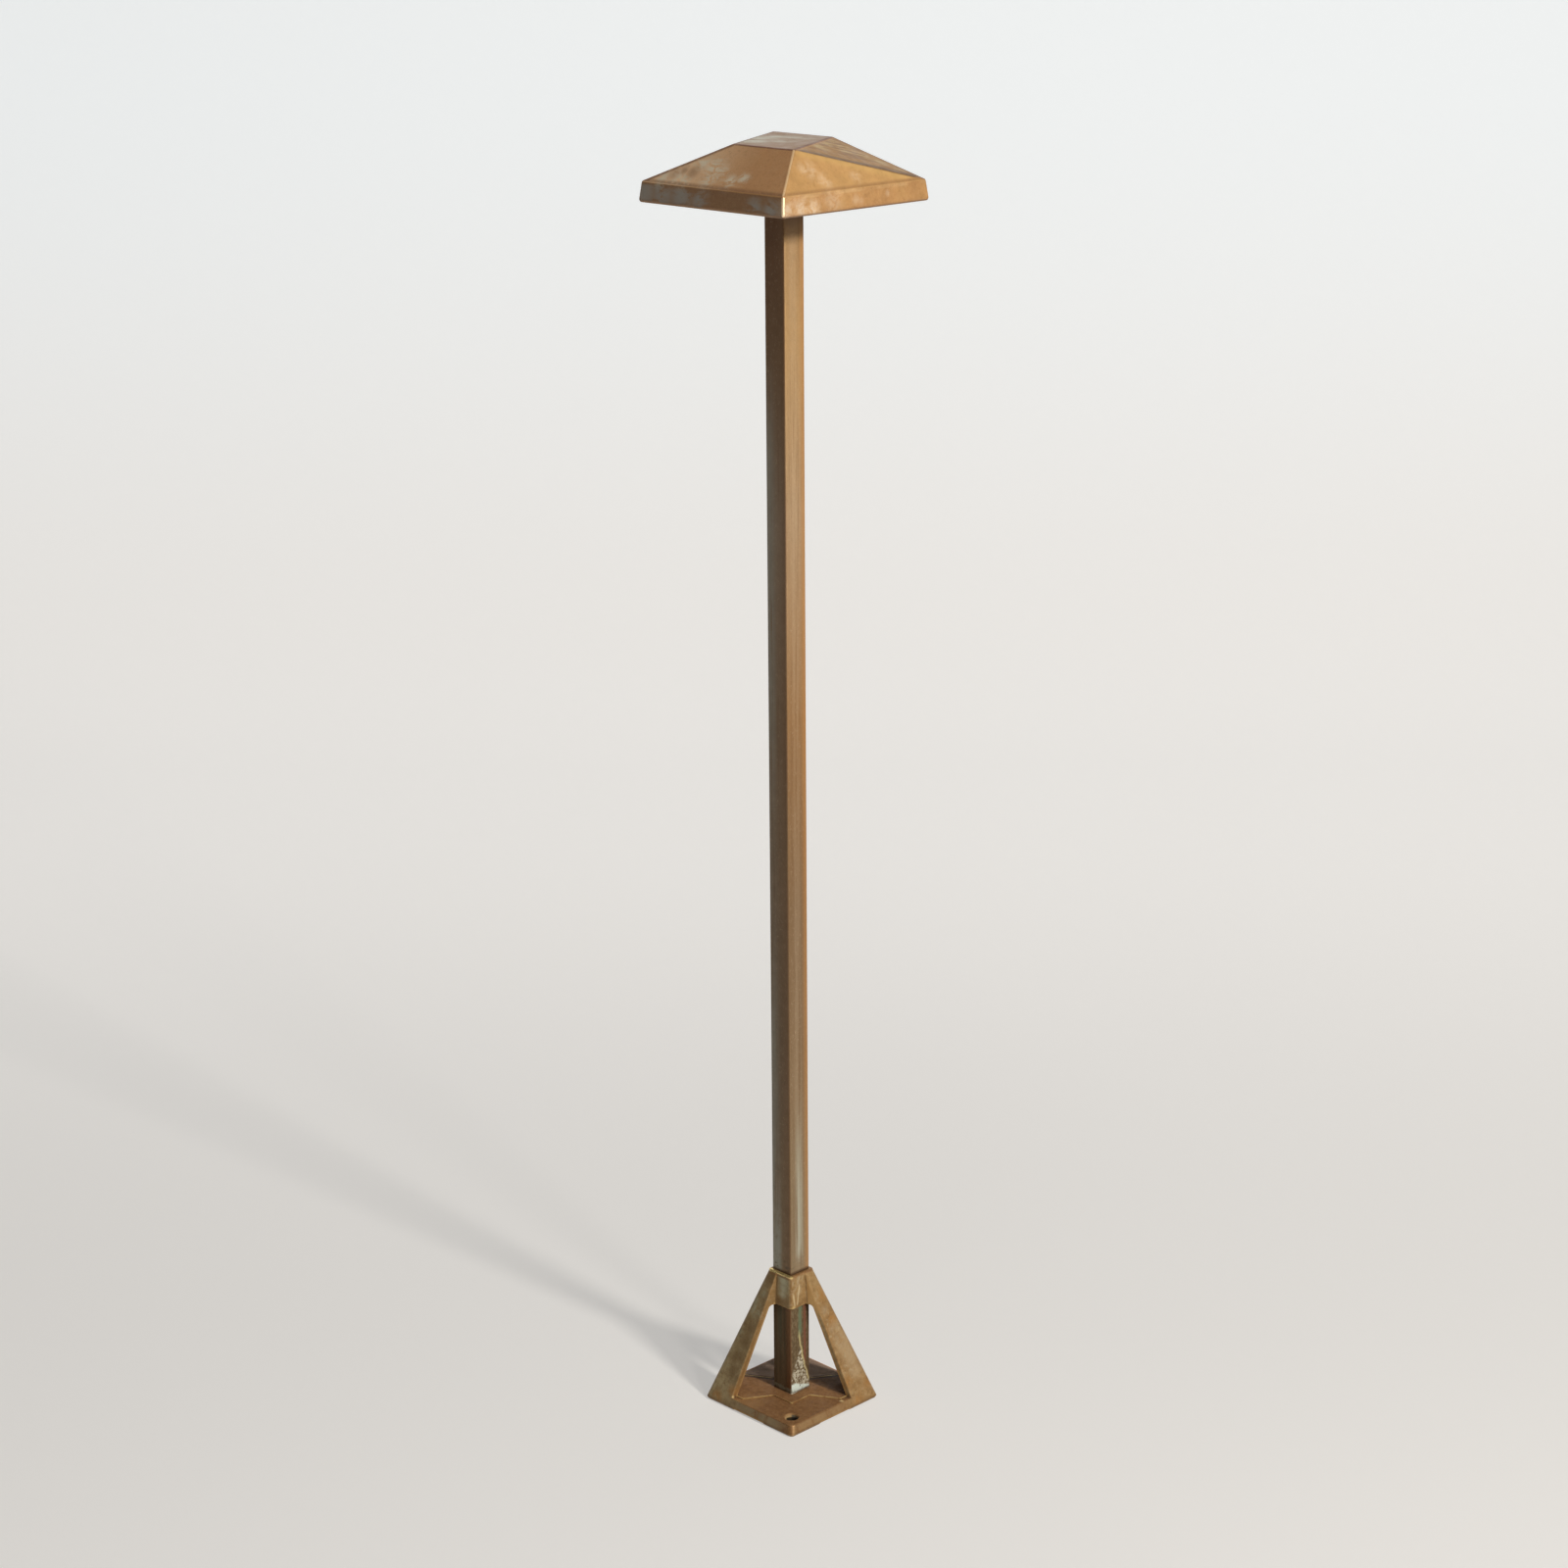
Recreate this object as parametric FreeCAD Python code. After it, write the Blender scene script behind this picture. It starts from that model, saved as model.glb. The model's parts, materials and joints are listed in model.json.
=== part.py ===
import FreeCAD, Part
import math
import os

# Path light on a square post, cast in brass: a pyramid foot with two angle legs, a square
# tube and a faceted hat that hides a small plug-in lamp. Sizes are millimetres. The origin
# is under the middle of the foot, +Z is up, and X and Y run along the sides of the foot
# plate. The front corner of the plate and of the hat points to +X -Y.

# Overall
TOTAL_HEIGHT = 612.2

# Post tube
POST_SIDE = 12.7
POST_WALL = 1.6
POST_CORNER_R = 0.9

# Foot plate
PLATE_SIDE = 61.3
PLATE_CORNER_R = 3.0
PLATE_THICKNESS = 5.2
PLATE_EDGE_R = 0.8
FOOT_EDGE_CHAMFER = 1.0
FOOT_PAD_LENGTH = 20.2
FOOT_PAD_HEIGHT = 0.7
SEAT_RAISE = 0.5
SEAT_PAD_SIDE = 25.2
WING_WAIST_WIDTH = 13.6
WING_FLARE = 0.255
SCREW_HOLE_R = 3.25
SCREW_HOLE_FROM_CENTRE = 31.05
SCREW_HOLE_CHAMFER = 0.5

# Legs and collar
COLLAR_TOP = 69.5
COLLAR_HEIGHT = 17.5
COLLAR_WALL = 1.6
LEG_ARRIS_R = 3.0
LEG_EDGE_R = 0.9
COLLAR_CORNER_R = 2.0
COLLAR_CHAMFER = 0.5
COLLAR_FIT = 0.1
LEG_WALL = 2.8
LEG_WIDTH_FOOT = 17.0
LEG_WIDTH_TOP = 6.5
LEG_DRAFT_DEG = 17.0
LEG_INSIDE_R = 3.0
WINDOW_FILLET_R = 2.0
COLLAR_SCREW_R = 1.5
COLLAR_SCREW_LENGTH = 3.0
COLLAR_SCREW_OFFSET = 1.5

# Cable bush in the foot plate
BUSH_BORE_R = 2.6
BUSH_WALL = 0.9
BUSH_LIP_WIDTH = 0.8
BUSH_LIP_HEIGHT = 1.5
BUSH_FLANGE_WIDTH = 1.9
BUSH_FLANGE_HEIGHT = 1.5
BUSH_FIT = 0.05

# Hat
HAT_SIDE = 91.3
HAT_RIM_HEIGHT = 9.0
HAT_RIM_FLARE = 0.85
HAT_ROOF_RISE = 17.7
HAT_WALL = 2.2
HAT_EDGE_R = 1.4
FACET_DEPTH = 50.6
FACET_NEAR_REACH = 31.75
FACET_FAR_REACH = 5.4
BOSS_DEPTH = 7.9
BOSS_WALL = 2.7
HAT_FIT = 0.15
HAT_SCREW_R = 1.5
HAT_SCREW_LENGTH = 4.0

# Plug in the top of the post
CAP_THICKNESS = 2.4
PLUG_FIT = 0.05
PLUG_ABOVE_WIRE_SLOT = 0.8

# Screws that hold the plug and the lamp bracket
SIDE_SCREW_R = 1.5
SIDE_SCREW_LENGTH = 6.0
SIDE_SCREW_HEAD_R = 2.6
SIDE_SCREW_HEAD_HEIGHT = 1.9
THREAD_FIT = 0.05

# Lamp bracket and socket
LAMP_AXIS_ABOVE_RIM = 5.5
BRACKET_THICKNESS = 1.0
BRACKET_BEND_R = 0.6
BRACKET_BELOW_BOSS = 0.5
SOCKET_GAP = 3.0
SOCKET_WIDTH = 13.4
SOCKET_DEPTH = 7.0
SOCKET_HEIGHT = 6.0
SOCKET_SCREW_R = 1.0
SOCKET_SCREW_FROM_END = 1.7
SOCKET_SCREW_HEAD_R = 1.5
SOCKET_SCREW_HEAD_HEIGHT = 1.2
CONTACT_SIDE = 1.8
CONTACT_BORE_R = 0.42
CONTACT_LENGTH = 4.8
CONTACT_SET_BACK = 0.3
CONTACT_FIT = 0.05

# Plug-in lamp
PIN_R = 0.35
PIN_SPACING = 4.0
PIN_LENGTH = 5.5
PIN_ROOT = 1.5
LAMP_SEAT_GAP = 0.1
LAMP_R = 8.0
LAMP_FOOT_WIDTH = 8.0
LAMP_FOOT_DEPTH = 2.6
LAMP_FOOT_HEIGHT = 4.8
LAMP_FOOT_GAP = 0.3
LAMP_BACK_THICKNESS = 1.8
BOARD_THICKNESS = 1.2
BOARD_ABOVE_AXIS = 0.8
LED_COUNT = 8
LED_SIDE = 2.2
LED_HEIGHT = 0.7
LED_RING_R = 4.8
COVER_HEIGHT = 3.0
COVER_WALL = 1.0

# Leads inside the post
LEAD_R = 0.85
LEAD_BEND_R = 5.0
LEAD_SOCKET_INSET = 1.5
LEAD_SLOT_MARGIN = 0.35
LEAD_ABOVE_SEAT = 12.0

# Worked-out levels and half widths
post_half = POST_SIDE / 2
bore_half = post_half - POST_WALL
collar_half = post_half + COLLAR_FIT + COLLAR_WALL
plate_half = PLATE_SIDE / 2
window_top = COLLAR_TOP - COLLAR_HEIGHT
seat_top = PLATE_THICKNESS + SEAT_RAISE

rim_bottom = TOTAL_HEIGHT - HAT_ROOF_RISE - HAT_RIM_HEIGHT
rim_top = TOTAL_HEIGHT - HAT_ROOF_RISE
hat_half = HAT_SIDE / 2
ceiling = TOTAL_HEIGHT - HAT_WALL
boss_bottom = ceiling - BOSS_DEPTH
tube_top = ceiling - CAP_THICKNESS

lamp_axis = rim_bottom + LAMP_AXIS_ABOVE_RIM
lead_slot_half_height = LEAD_R + LEAD_SLOT_MARGIN
plug_bottom = lamp_axis + lead_slot_half_height + PLUG_ABOVE_WIRE_SLOT
bracket_bottom = lamp_axis + SOCKET_HEIGHT / 2
bracket_top = boss_bottom - BRACKET_BELOW_BOSS
side_screw_level = (bracket_bottom + BRACKET_THICKNESS + bracket_top) / 2
socket_back = post_half + SOCKET_GAP
socket_front = socket_back + SOCKET_DEPTH
lamp_back_face = socket_front + LAMP_SEAT_GAP
lamp_centre = lamp_back_face + LAMP_FOOT_DEPTH + LAMP_FOOT_GAP + LAMP_R
board_top = lamp_axis + BOARD_ABOVE_AXIS
board_bottom = board_top - BOARD_THICKNESS
lead_offset = PIN_SPACING / 2

bush_r = BUSH_BORE_R + BUSH_WALL
bush_flange_r = bush_r + BUSH_FLANGE_WIDTH
bush_lip_r = bush_r + BUSH_LIP_WIDTH
lead_bottom = seat_top + LEAD_ABOVE_SEAT

V = FreeCAD.Vector
X_AXIS = V(1, 0, 0)
Y_AXIS = V(0, 1, 0)
Z_AXIS = V(0, 0, 1)
SIDES = (-1, 1)
# Signs of X and Y at the left, front, right and back corners.
CORNERS = ((-1, -1), (1, -1), (1, 1), (-1, 1))
# A cutter runs this far past the face that it opens.
PAST = 1.0


def square_wire(half, radius, level):
    """Rounded square outline round the post axis."""
    flat = half - radius
    middle = flat + radius * math.sqrt(0.5)
    edges = []
    for quarter in range(4):
        turn = FreeCAD.Rotation(Z_AXIS, 90 * quarter)
        start = turn.multVec(V(half, -flat, level))
        end = turn.multVec(V(half, flat, level))
        corner = turn.multVec(V(middle, middle, level))
        after = turn.multVec(V(flat, half, level))
        edges.append(Part.makeLine(start, end))
        edges.append(Part.Arc(end, corner, after).toShape())
    return Part.Wire(edges)


def square_prism(half, radius, low, high):
    face = Part.Face(square_wire(half, radius, low))
    return face.extrude(V(0, 0, high - low))


def faced_solid(outlines):
    """Solid with a flat face for each outline."""
    faces = [Part.Face(Part.makePolygon(points + points[:1])) for points in outlines]
    shell = Part.makeShell(faces)
    shell.sewShape()
    solid = Part.makeSolid(shell)
    if solid.Volume < 0:
        solid.reverse()
    return solid


def prismoid(low, high):
    """Solid between two outlines with the same number of corners."""
    outlines = [low, high]
    for corner in range(len(low)):
        after = (corner + 1) % len(low)
        outlines.append([low[corner], low[after], high[after], high[corner]])
    return faced_solid(outlines)


def square_outline(half, level):
    return [V(x * half, y * half, level) for x, y in CORNERS]


def frustum(low_half, low, high_half, high):
    """Square block whose half width changes from one level to the other."""
    wedge = Part.makeWedge(-low_half, low, -low_half, -high_half, -high_half,
                           low_half, high, low_half, high_half, high_half)
    wedge.rotate(V(0, 0, 0), X_AXIS, 90)
    return wedge


def round_arrises(shape, radius):
    """Round the sloping corner edges of a frustum."""
    sloping = [edge for edge in shape.Edges if abs(edge.Vertexes[0].Z - edge.Vertexes[1].Z) > 1e-6]
    return shape.makeFillet(radius, sloping)


def block(low, high):
    size = high - low
    return Part.makeBox(size.x, size.y, size.z, low)


def rod(start, axis, radius, length):
    return Part.makeCylinder(radius, length, start, axis)


def square_bar(start, side, length):
    """Square bar that goes from the middle of its end along Y."""
    corner = V(side / 2, 0, side / 2)
    return block(start - corner, start + corner + Y_AXIS * length)


def outline_prism(points, rise):
    wire = Part.makePolygon(points + points[:1])
    return Part.Face(wire).extrude(rise)


def edges_at_level(shape, level):
    return [edge for edge in shape.Edges if all(abs(v.Z - level) < 1e-6 for v in edge.Vertexes)]


def hex_socket(start, axis, across_flats, depth):
    """Hexagonal key recess that goes from start along axis."""
    radius = across_flats / math.sqrt(3)
    side = axis.cross(Z_AXIS)
    if side.Length < 0.5:
        side = X_AXIS
    points = []
    for step in range(6):
        turn = FreeCAD.Rotation(axis, 60 * step)
        points.append(start + turn.multVec(side) * radius)
    return outline_prism(points, axis * depth)


def set_screw(tip, axis, radius, length):
    """Headless screw with its key recess in the outer end."""
    body = rod(tip, axis, radius, length)
    key_depth = length * 0.45
    recess = hex_socket(tip + axis * (length - key_depth), axis, radius, key_depth)
    return body.cut(recess)


def pan_screw(seat, axis, radius, length, head_r, head_height):
    """Screw whose head sits on the seat point; the shank runs along axis."""
    head = rod(seat - axis * head_height, axis, head_r, head_height)
    recess = hex_socket(seat - axis * head_height, axis, head_r * 0.9, head_height * 0.55)
    return head.cut(recess).fuse(rod(seat, axis, radius, length)).removeSplitter()


def base_half_at(level):
    """Half width of the pyramid that the plate edge and the legs share."""
    return plate_half + (collar_half - plate_half) * level / COLLAR_TOP


def leg_gap_at(level):
    """Distance from the middle of a pyramid face to the inner edge of a leg."""
    foot = plate_half - LEG_WIDTH_FOOT
    top = collar_half - LEG_WIDTH_TOP
    return foot + (top - foot) * level / COLLAR_TOP


def leg_corner(side, level):
    """Kite outline that takes in one leg's corner of the pyramid; its inner sides have draft."""
    draft = math.tan(math.radians(LEG_DRAFT_DEG))
    half = base_half_at(level)
    gap = leg_gap_at(level)
    outer = PLATE_SIDE
    inner = (gap - draft * half) / (1 - draft)
    edge = gap + draft * (outer - half)
    outline = [(inner, inner), (outer, edge), (outer, outer), (edge, outer)]
    return [V(side * x, side * y, level) for x, y in outline]


def pyramid():
    shape = frustum(plate_half, 0, collar_half, COLLAR_TOP)
    return round_arrises(shape, LEG_ARRIS_R)


def foot_plate():
    plate = frustum(plate_half, 0, base_half_at(PLATE_THICKNESS), PLATE_THICKNESS)
    plate = round_arrises(plate, PLATE_CORNER_R)
    plate = plate.makeFillet(PLATE_EDGE_R, edges_at_level(plate, PLATE_THICKNESS))
    return plate.makeChamfer(FOOT_EDGE_CHAMFER, edges_at_level(plate, 0))


def leg_space():
    """Hollow between the legs, from the plate up to the top of the windows."""
    low_half = base_half_at(PLATE_THICKNESS) - LEG_WALL
    high_half = base_half_at(window_top) - LEG_WALL
    space = frustum(low_half, PLATE_THICKNESS, high_half, window_top)
    space = round_arrises(space, LEG_INSIDE_R)
    return space.makeFillet(WINDOW_FILLET_R, edges_at_level(space, window_top))


def flange_edges(leg):
    """The two edges where a leg's flanges end on the outside of the pyramid."""
    edges = []
    for edge in leg.Edges:
        low = min([vertex.Point for vertex in edge.Vertexes], key=lambda point: point.z)
        across = abs(abs(low.x) - abs(low.y))
        if edge.BoundBox.ZLength > window_top and across > LEG_WIDTH_FOOT / 2:
            edges.append(edge)
    return edges


def legs():
    """Two angle legs at opposite corners, solid from the windows up to the collar rim."""
    foot = FOOT_EDGE_CHAMFER
    corners = [prismoid(leg_corner(side, foot), leg_corner(side, COLLAR_TOP)) for side in SIDES]
    shapes = [pyramid().common(corner).cut(leg_space()) for corner in corners]
    return [leg.makeFillet(LEG_EDGE_R, flange_edges(leg)) for leg in shapes]


def collar():
    """Square ring between the legs, with its lower edge bevelled."""
    ring = square_prism(collar_half, COLLAR_CORNER_R, window_top, COLLAR_TOP)
    return ring.makeChamfer(COLLAR_CHAMFER, edges_at_level(ring, window_top))


def seat_plateau():
    """Raised seat on the plate: a square pad under the post and two wings out to the legs."""
    low = PLATE_THICKNESS - PLATE_EDGE_R
    pad_half = SEAT_PAD_SIDE / 2
    pad = block(V(-pad_half, -pad_half, low), V(pad_half, pad_half, seat_top))
    reach = plate_half
    waist = WING_WAIST_WIDTH / 2
    flare = waist + WING_FLARE * reach
    outline = [(-reach, -flare), (0, -waist), (reach, -flare), (reach, flare), (0, waist), (-reach, flare)]
    turn = FreeCAD.Rotation(Z_AXIS, 45)
    wings = outline_prism([turn.multVec(V(along, across, low)) for along, across in outline],
                          V(0, 0, seat_top - low))
    inside = square_prism(base_half_at(PLATE_THICKNESS) - LEG_WALL, LEG_INSIDE_R, low, seat_top)
    return pad.fuse(wings.common(inside))


def collar_screw_places():
    """Tip and direction of each collar screw, on the two back faces beside the back corner."""
    level = (window_top + COLLAR_TOP) / 2
    return [(V(-COLLAR_SCREW_OFFSET, post_half, level), Y_AXIS),
            (V(-post_half, COLLAR_SCREW_OFFSET, level), -X_AXIS)]


def collar_chamfer():
    """Ring that bevels the collar rim and the tops of the legs."""
    low = COLLAR_TOP - COLLAR_CHAMFER
    around = square_prism(collar_half + PAST, COLLAR_CORNER_R, low, COLLAR_TOP)
    kept = frustum(base_half_at(low), low, collar_half - COLLAR_CHAMFER, COLLAR_TOP)
    return around.cut(round_arrises(kept, COLLAR_CORNER_R))


def base_casting():
    shape = foot_plate().fuse(legs())
    shape = shape.fuse([seat_plateau(), collar()])
    shape = shape.removeSplitter()
    cuts = [square_prism(post_half + COLLAR_FIT, POST_CORNER_R, window_top - PAST, COLLAR_TOP + PAST)]
    cuts.append(collar_chamfer())
    channel = plate_half - FOOT_PAD_LENGTH
    for across, along in ((channel, PLATE_SIDE), (PLATE_SIDE, channel)):
        cuts.append(block(V(-across, -along, -PAST), V(across, along, FOOT_PAD_HEIGHT)))
    cuts.append(rod(V(0, 0, 0), Z_AXIS, bush_r + BUSH_FIT, seat_top + PAST))
    cuts.append(rod(V(0, 0, 0), Z_AXIS, bush_flange_r + BUSH_FIT, FOOT_PAD_HEIGHT + BUSH_FLANGE_HEIGHT))
    cuts.append(rod(V(0, 0, seat_top - BUSH_LIP_HEIGHT), Z_AXIS, bush_lip_r + BUSH_FIT, BUSH_LIP_HEIGHT + PAST))
    place = SCREW_HOLE_FROM_CENTRE * math.sqrt(0.5)
    for side in SIDES:
        centre = V(side * place, -side * place, 0)
        cuts.append(rod(centre, Z_AXIS, SCREW_HOLE_R, PLATE_THICKNESS + PAST))
        cuts.append(Part.makeCone(SCREW_HOLE_R, SCREW_HOLE_R + SCREW_HOLE_CHAMFER, SCREW_HOLE_CHAMFER,
                                  centre + V(0, 0, PLATE_THICKNESS - SCREW_HOLE_CHAMFER), Z_AXIS))
    for tip, axis in collar_screw_places():
        cuts.append(rod(tip, axis, COLLAR_SCREW_R + THREAD_FIT, COLLAR_FIT + COLLAR_WALL + PAST))
    return shape.cut(cuts)


def collar_set_screws():
    screws = [set_screw(tip, axis, COLLAR_SCREW_R, COLLAR_SCREW_LENGTH) for tip, axis in collar_screw_places()]
    return Part.makeCompound(screws)


def cable_grommet():
    """Rubber bush: a barrel through the plate, a flange below it and a lip in the seat above."""
    flange = rod(V(0, 0, FOOT_PAD_HEIGHT), Z_AXIS, bush_flange_r, BUSH_FLANGE_HEIGHT)
    barrel = rod(V(0, 0, FOOT_PAD_HEIGHT), Z_AXIS, bush_r, seat_top - FOOT_PAD_HEIGHT)
    lip = rod(V(0, 0, seat_top - BUSH_LIP_HEIGHT), Z_AXIS, bush_lip_r, BUSH_LIP_HEIGHT)
    bore = rod(V(0, 0, 0), Z_AXIS, BUSH_BORE_R, seat_top + PAST)
    return barrel.fuse([flange, lip]).cut(bore).removeSplitter()


def lead_slot():
    """Slot in the side of the tube where the two leads turn out to the lamp socket."""
    half_height = lead_slot_half_height
    ends = [rod(V(side * lead_offset, 0, lamp_axis), Y_AXIS, half_height, POST_SIDE) for side in SIDES]
    middle = block(V(-lead_offset, 0, lamp_axis - half_height), V(lead_offset, POST_SIDE, lamp_axis + half_height))
    return middle.fuse(ends)


def side_screw_hole(radius):
    """Hole across the tube for the plug screw and the bracket screw."""
    start = V(0, -POST_SIDE, side_screw_level)
    return rod(start, Y_AXIS, radius, 2 * POST_SIDE)


def post_tube():
    outside = square_prism(post_half, POST_CORNER_R, seat_top, tube_top)
    inside = frustum(bore_half, seat_top - PAST, bore_half, tube_top + PAST)
    return outside.cut([inside, lead_slot(), side_screw_hole(SIDE_SCREW_R + THREAD_FIT)])


def post_plug():
    """Brass plug in the tube, with a cap that carries the hat."""
    spigot = frustum(bore_half - PLUG_FIT, plug_bottom, bore_half - PLUG_FIT, tube_top)
    cap = square_prism(post_half, POST_CORNER_R, tube_top, ceiling)
    return spigot.fuse(cap).cut(side_screw_hole(SIDE_SCREW_R + THREAD_FIT)).removeSplitter()


def plug_screw():
    return pan_screw(V(0, -post_half, side_screw_level), Y_AXIS, SIDE_SCREW_R,
                     SIDE_SCREW_LENGTH - BRACKET_THICKNESS, SIDE_SCREW_HEAD_R, SIDE_SCREW_HEAD_HEIGHT)


def bracket_screw():
    return pan_screw(V(0, post_half + BRACKET_THICKNESS, side_screw_level), -Y_AXIS, SIDE_SCREW_R,
                     SIDE_SCREW_LENGTH, SIDE_SCREW_HEAD_R, SIDE_SCREW_HEAD_HEIGHT)


def socket_screw_places(level):
    middle = (socket_back + socket_front) / 2
    reach = SOCKET_WIDTH / 2 - SOCKET_SCREW_FROM_END
    return [V(side * reach, middle, level) for side in SIDES]


def lamp_bracket():
    """Bent strip: an upright tab on the post and a shelf above the socket."""
    half = SOCKET_WIDTH / 2
    back = post_half
    upright = block(V(-post_half, back, bracket_bottom), V(post_half, back + BRACKET_THICKNESS, bracket_top))
    shelf = block(V(-half, back, bracket_bottom), V(half, socket_front, bracket_bottom + BRACKET_THICKNESS))
    strip = upright.fuse(shelf).removeSplitter()
    bend = [edge for edge in edges_at_level(strip, bracket_bottom) if abs(edge.CenterOfMass.y - back) < 1e-6]
    strip = strip.makeFillet(BRACKET_BEND_R, bend)
    cuts = [rod(V(0, 0, side_screw_level), Y_AXIS, SIDE_SCREW_R + THREAD_FIT, 2 * POST_SIDE)]
    for place in socket_screw_places(bracket_bottom - PAST):
        cuts.append(rod(place, Z_AXIS, SOCKET_SCREW_R + THREAD_FIT, BRACKET_THICKNESS + 2 * PAST))
    return strip.cut(cuts)


def lamp_socket():
    """Ceramic socket with two square contact bores and two screw holes."""
    half = SOCKET_WIDTH / 2
    low = lamp_axis - SOCKET_HEIGHT / 2
    body = block(V(-half, socket_back, low), V(half, socket_front, bracket_bottom))
    cuts = []
    for side in SIDES:
        start = V(side * lead_offset, socket_back - PAST, lamp_axis)
        cuts.append(square_bar(start, CONTACT_SIDE + 2 * CONTACT_FIT, SOCKET_DEPTH + 2 * PAST))
    for place in socket_screw_places(low - PAST):
        cuts.append(rod(place, Z_AXIS, SOCKET_SCREW_R + THREAD_FIT, SOCKET_HEIGHT + 2 * PAST))
    return body.cut(cuts)


def socket_contacts():
    sleeves = []
    for side in SIDES:
        start = V(side * lead_offset, socket_front - CONTACT_SET_BACK - CONTACT_LENGTH, lamp_axis)
        sleeve = square_bar(start, CONTACT_SIDE, CONTACT_LENGTH)
        sleeves.append(sleeve.cut(rod(start - Y_AXIS * PAST, Y_AXIS, CONTACT_BORE_R, CONTACT_LENGTH + 2 * PAST)))
    return Part.makeCompound(sleeves)


def socket_screws():
    low = lamp_axis - SOCKET_HEIGHT / 2
    length = SOCKET_HEIGHT + BRACKET_THICKNESS
    screws = [pan_screw(place, Z_AXIS, SOCKET_SCREW_R, length, SOCKET_SCREW_HEAD_R, SOCKET_SCREW_HEAD_HEIGHT)
              for place in socket_screw_places(low)]
    return Part.makeCompound(screws)


def lamp_pins():
    pins = []
    for side in SIDES:
        start = V(side * lead_offset, lamp_back_face - PIN_LENGTH, lamp_axis)
        pins.append(rod(start, Y_AXIS, PIN_R, PIN_LENGTH + PIN_ROOT))
    return Part.makeCompound(pins)


def lamp_back():
    """Moulded back of the lamp: a disc with the foot that holds the pins."""
    back_top = board_top + LAMP_BACK_THICKNESS
    disc = rod(V(0, lamp_centre, board_top), Z_AXIS, LAMP_R, LAMP_BACK_THICKNESS)
    half = LAMP_FOOT_WIDTH / 2
    bridge = block(V(-half, lamp_back_face, board_top), V(half, lamp_centre, back_top))
    foot = block(V(-half, lamp_back_face, back_top - LAMP_FOOT_HEIGHT),
                 V(half, lamp_back_face + LAMP_FOOT_DEPTH, back_top))
    holes = [rod(V(side * lead_offset, lamp_back_face - PAST, lamp_axis), Y_AXIS, PIN_R, PIN_ROOT + PAST)
             for side in SIDES]
    return disc.fuse([bridge, foot]).removeSplitter().cut(holes)


def lamp_board():
    return rod(V(0, lamp_centre, board_bottom), Z_AXIS, LAMP_R, BOARD_THICKNESS)


def lamp_leds():
    chips = []
    half = LED_SIDE / 2
    for step in range(LED_COUNT):
        chip = block(V(LED_RING_R - half, -half, board_bottom - LED_HEIGHT), V(LED_RING_R + half, half, board_bottom))
        chip.rotate(V(0, 0, 0), Z_AXIS, 360 * step / LED_COUNT)
        chip.translate(V(0, lamp_centre, 0))
        chips.append(chip)
    return Part.makeCompound(chips)


def lamp_cover():
    """Frosted cup over the light chips."""
    low = board_bottom - COVER_HEIGHT
    cup = rod(V(0, lamp_centre, low), Z_AXIS, LAMP_R, COVER_HEIGHT)
    hollow = rod(V(0, lamp_centre, low + COVER_WALL), Z_AXIS, LAMP_R - COVER_WALL, COVER_HEIGHT)
    return cup.cut(hollow)


def lead(side):
    """One insulated lead: up the post, round two mitred turns and out to the socket."""
    x = side * lead_offset
    upright_y = post_half - POST_WALL - LEAD_BEND_R - LEAD_R
    tangent = LEAD_BEND_R * (1 - math.tan(math.radians(22.5)))
    start = V(x, upright_y, lead_bottom)
    turns = [V(x, upright_y, lamp_axis - tangent), V(x, upright_y + tangent, lamp_axis)]
    end = V(x, socket_back + LEAD_SOCKET_INSET, lamp_axis)
    path = Part.makePolygon([start] + turns + [end])
    profile = Part.Wire([Part.makeCircle(LEAD_R, start, Z_AXIS)])
    return path.makePipeShell([profile], True, False, 1)


def faceted_form(low_half, low, eave_half, eave, top, near, far, depth_half):
    """Hat form with a skewed flat top.

    The front-left and back-right slopes are single planes. The other two slopes are each folded
    along the line from a near corner of the flat top to the eave corner across from it.
    """
    foot = square_outline(low_half, low)
    rim = square_outline(eave_half, eave)
    flat = [V(-far, -depth_half, top), V(near, -depth_half, top),
            V(far, depth_half, top), V(-near, depth_half, top)]
    outlines = [foot, flat]
    for corner in range(4):
        after = (corner + 1) % 4
        outlines.append([foot[corner], foot[after], rim[after], rim[corner]])
    for corner in (0, 2):
        after = corner + 1
        beyond = (corner + 2) % 4
        outlines.append([rim[corner], rim[after], flat[after], flat[corner]])
        outlines.append([rim[after], rim[beyond], flat[after]])
        outlines.append([flat[after], rim[beyond], flat[beyond]])
    return faced_solid(outlines)


def hat_form(inset, low):
    """The hat's outer form with every face moved in by inset, down to a given level."""
    eave_half = hat_half - HAT_RIM_FLARE
    depth_half = FACET_DEPTH / 2
    slope = math.atan2(HAT_ROOF_RISE, eave_half - depth_half)
    drop = inset * (1 - math.sin(slope)) / math.cos(slope)
    shrink = inset * math.tan(slope / 2)
    return faceted_form(hat_half - inset, low, eave_half - inset, rim_top - drop, TOTAL_HEIGHT - inset,
                        FACET_NEAR_REACH - shrink, FACET_FAR_REACH, depth_half - shrink)


def hat_screw_places():
    level = boss_bottom + (BOSS_DEPTH - CAP_THICKNESS) / 2
    return [(V(side * post_half, 0, level), X_AXIS * side) for side in SIDES]


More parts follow.
